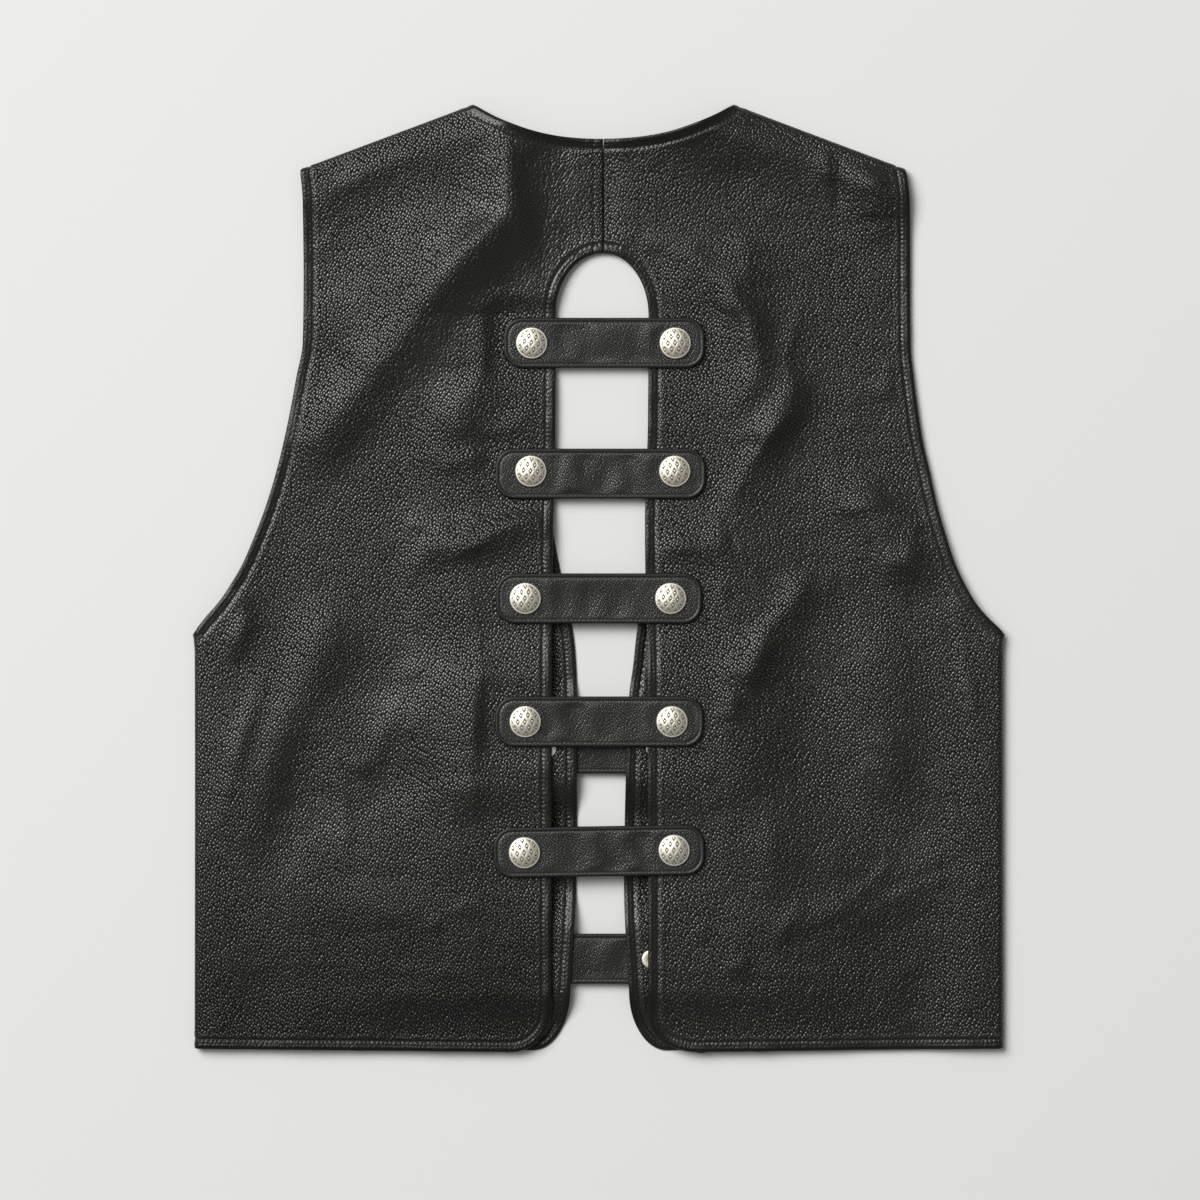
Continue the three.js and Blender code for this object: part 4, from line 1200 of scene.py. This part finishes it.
class VEST_OT_studs(bpy.types.Operator):
    """Add the domed snap studs with their diamond lattice, posts and washers"""
    bl_idname = "vest.studs"
    bl_label = "Studs"

    def execute(self, context):
        names = [f"back_stud_{n}_{side}" for n in range(1, 6) for side in SIDES]
        names += [f"front_stud_{n}_{side}" for n in (1, 2) for side in SIDES]
        for i, name in enumerate(names):
            self.make_stud(name, i)
        return {"FINISHED"}

    def lattice(self, x, y, turn):
        """Relief of the cap and how deep in a recess each point lies."""
        cell = sizes().lattice / MM
        row = cell * math.sin(math.radians(60))
        cos, sin = math.cos(turn), math.sin(turn)
        u_x, u_y = x * cos + y * sin, y * cos - x * sin
        u = u_x / cell + u_y / (2 * row)
        v = u_x / cell - u_y / (2 * row)
        off_u, off_v = np.abs(u - np.round(u)), np.abs(v - np.round(v))
        off = np.maximum(off_u, off_v)
        deep = 0.4 * ease((0.37 - off) / 0.09) + 0.6 * ease((0.27 - off) / 0.07)
        near_u, near_v = u - np.round(u), v - np.round(v)
        px, py = (near_u + near_v) / 2 * cell, (near_u - near_v) * row
        pearl = ease((0.95 - np.hypot(px, py)) / 0.5)
        return deep, pearl

    def make_stud(self, name, index):
        low, high = (np.array(v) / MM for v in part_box(name))
        up = 1 if name.startswith("back") else -1
        centre = (low + high) / 2
        foot = high[2] - CAP_HEIGHT if up > 0 else low[2] + CAP_HEIGHT
        tail = low[2] if up > 0 else high[2]
        rings = np.concatenate((np.linspace(0.0, 0.9, 46), [0.925, 0.945, 0.965, 0.985, 1.0]))
        around = 160
        angle = np.linspace(0, 2 * math.pi, around, endpoint=False)
        r = rings[1:, None] * CAP_RADIUS
        x, y = r * np.cos(angle), r * np.sin(angle)
        share = rings[1:, None] * np.ones(around)
        turn = math.radians((index * 37 % 23) - 11)
        deep, pearl = self.lattice(x, y, turn)
        inside = ease((0.9 - share) / 0.06)
        dome = CAP_RIM + (CAP_HEIGHT - CAP_RIM - 0.1) * (1 - share ** 2) ** 0.8
        lip = 0.3 * ease((share - 0.915) / 0.03) * ease((1.01 - share) / 0.05)
        height = dome - 0.24 * deep * inside + 0.3 * pearl * deep * inside + lip
        # Where the lattice recesses get painted shade and more roughness
        recess = deep * (1 - pearl) * inside
        deep0, pearl0 = self.lattice(np.zeros(1), np.zeros(1), turn)
        top_z = CAP_HEIGHT - 0.1 - 0.24 * deep0[0] + 0.3 * pearl0[0] * deep0[0]
        points = [np.array([[0, 0, top_z]]), np.stack((x, y, height), -1).reshape(-1, 3)]
        marks = [np.zeros(1), recess.ravel()]
        reach = abs(tail - foot)
        skirt = [(1.0, 0.25), (0.98, -0.1), (0.93, -GAP + 0.02), (0.2, -GAP + 0.02),
                 (0.2, -reach + 0.8), (0.577, -reach + 0.8), (0.577, -reach + 0.15),
                 (0.54, -reach), (0.22, -reach), (0.16, -reach + 0.25)]
        for radius_share, z in skirt:
            ring = np.stack((radius_share * CAP_RADIUS * np.cos(angle),
                             radius_share * CAP_RADIUS * np.sin(angle), np.full(around, z)), -1)
            points.append(ring)
            marks.append(np.zeros(around))
        points.append(np.array([[0, 0, -reach + 0.25]]))
        marks.append(np.zeros(1))
        vertices = np.concatenate(points)
        total_rings = len(rings) - 1 + len(skirt)
        k = np.arange(around)
        after = (k + 1) % around
        last = 1 + (total_rings - 1) * around
        end = len(vertices) - 1
        faces = [np.stack((np.zeros(around, int), 1 + k, 1 + after), -1),
                 np.stack((last + k, np.full(around, end), last + after), -1)]
        for ring in range(total_rings - 1):
            a, b = 1 + ring * around, 1 + (ring + 1) * around
            faces.append(np.stack((a + k, b + k, b + after, a + after), -1))
        if up < 0:
            vertices = vertices * np.array([1, -1, -1])
        vertices = vertices + np.array([centre[0], centre[1], foot])
        piece = make_object(f"{name}_metal", vertices, [f for part in faces for f in part.tolist()],
                            material_for("polished_nickel_plate"),
                            {"recess": np.concatenate(marks)})
        settle(piece, "nickel", name)


class VEST_OT_stage(bpy.types.Operator):
    """Add the pale paper, the camera over it and the soft studio light"""
    bl_idname = "vest.stage"
    bl_label = "Stage, Camera and Light"

    def execute(self, context):
        scene = bpy.context.scene
        half = 4.0
        mesh = bpy.data.meshes.new("backdrop")
        mesh.from_pydata([(-half, -half, 0), (half, -half, 0), (half, half, 0), (-half, half, 0)],
                         [], [(0, 1, 2, 3)])
        mesh.materials.append(material_for("uncoated_backdrop_paper"))
        floor = bpy.data.objects.new("backdrop", mesh)
        scene.collection.objects.link(floor)

        lens = bpy.data.cameras.new("camera")
        camera = bpy.data.objects.new("camera", lens)
        # What the picture's 1200 pixels of 0.656 mm take in
        distance, seen = 3.2, 0.7872
        lens.lens = lens.sensor_width * distance / seen
        camera.location = (0.0007, -0.0144, distance + 0.006)
        lens.clip_start, lens.clip_end = 0.1, 20
        scene.collection.objects.link(camera)
        scene.camera = camera

        self.add_softbox("key_softbox", (-4.0, 3.5, 6.35), 5.4, 5.4, 770.0)
        world = bpy.data.worlds.new("studio_air")
        scene.world = world
        world.use_nodes = True
        back = world.node_tree.nodes.get("Background")
        if back is None:
            raise RuntimeError("the world has no background node")
        back.inputs["Color"].default_value = srgb("#f4f5f2")
        back.inputs["Strength"].default_value = 0.24
        scene.view_settings.view_transform = "Standard"
        scene.view_settings.look = "None"
        return {"FINISHED"}

    def add_softbox(self, name, place, width, height, power):
        data = bpy.data.lights.new(name, "AREA")
        data.shape = "RECTANGLE"
        data.size, data.size_y = width, height
        data.energy = power
        light = bpy.data.objects.new(name, data)
        light.location = place
        x, y, z = place
        light.rotation_mode = "XYZ"
        light.rotation_euler = (0, math.atan2(math.hypot(x, y), z), math.atan2(y, x))
        bpy.context.scene.collection.objects.link(light)


class VEST_PT_pieces(bpy.types.Panel):
    """Sizes, colours and the pieces of the vest"""
    bl_idname = "VEST_PT_pieces"
    bl_label = "Leather Vest"
    bl_space_type = "VIEW_3D"
    bl_region_type = "UI"
    bl_category = "Leather Vest"

    def draw(self, context):
        layout = self.layout
        for group in (context.scene.vest_sizes, context.scene.vest_colours):
            box = layout.box()
            for key in group.__annotations__:
                box.prop(group, key)
        for operator in OPERATORS:
            layout.operator(operator.bl_idname)


OPERATORS = (VEST_OT_stage, VEST_OT_front_halves, VEST_OT_back_halves, VEST_OT_straps,
             VEST_OT_studs)
CLASSES = (VestSizes, VestColours, *OPERATORS, VEST_PT_pieces)


def register():
    for cls in CLASSES:
        bpy.utils.register_class(cls)
    bpy.types.Scene.vest_sizes = bpy.props.PointerProperty(type=VestSizes)
    bpy.types.Scene.vest_colours = bpy.props.PointerProperty(type=VestColours)


def unregister():
    del bpy.types.Scene.vest_colours
    del bpy.types.Scene.vest_sizes
    for cls in reversed(CLASSES):
        bpy.utils.unregister_class(cls)


def main():
    register()
    bpy.ops.vest.stage()
    bpy.ops.vest.front_halves()
    bpy.ops.vest.back_halves()
    bpy.ops.vest.straps()
    bpy.ops.vest.studs()


if __name__ == "__main__":
    main()
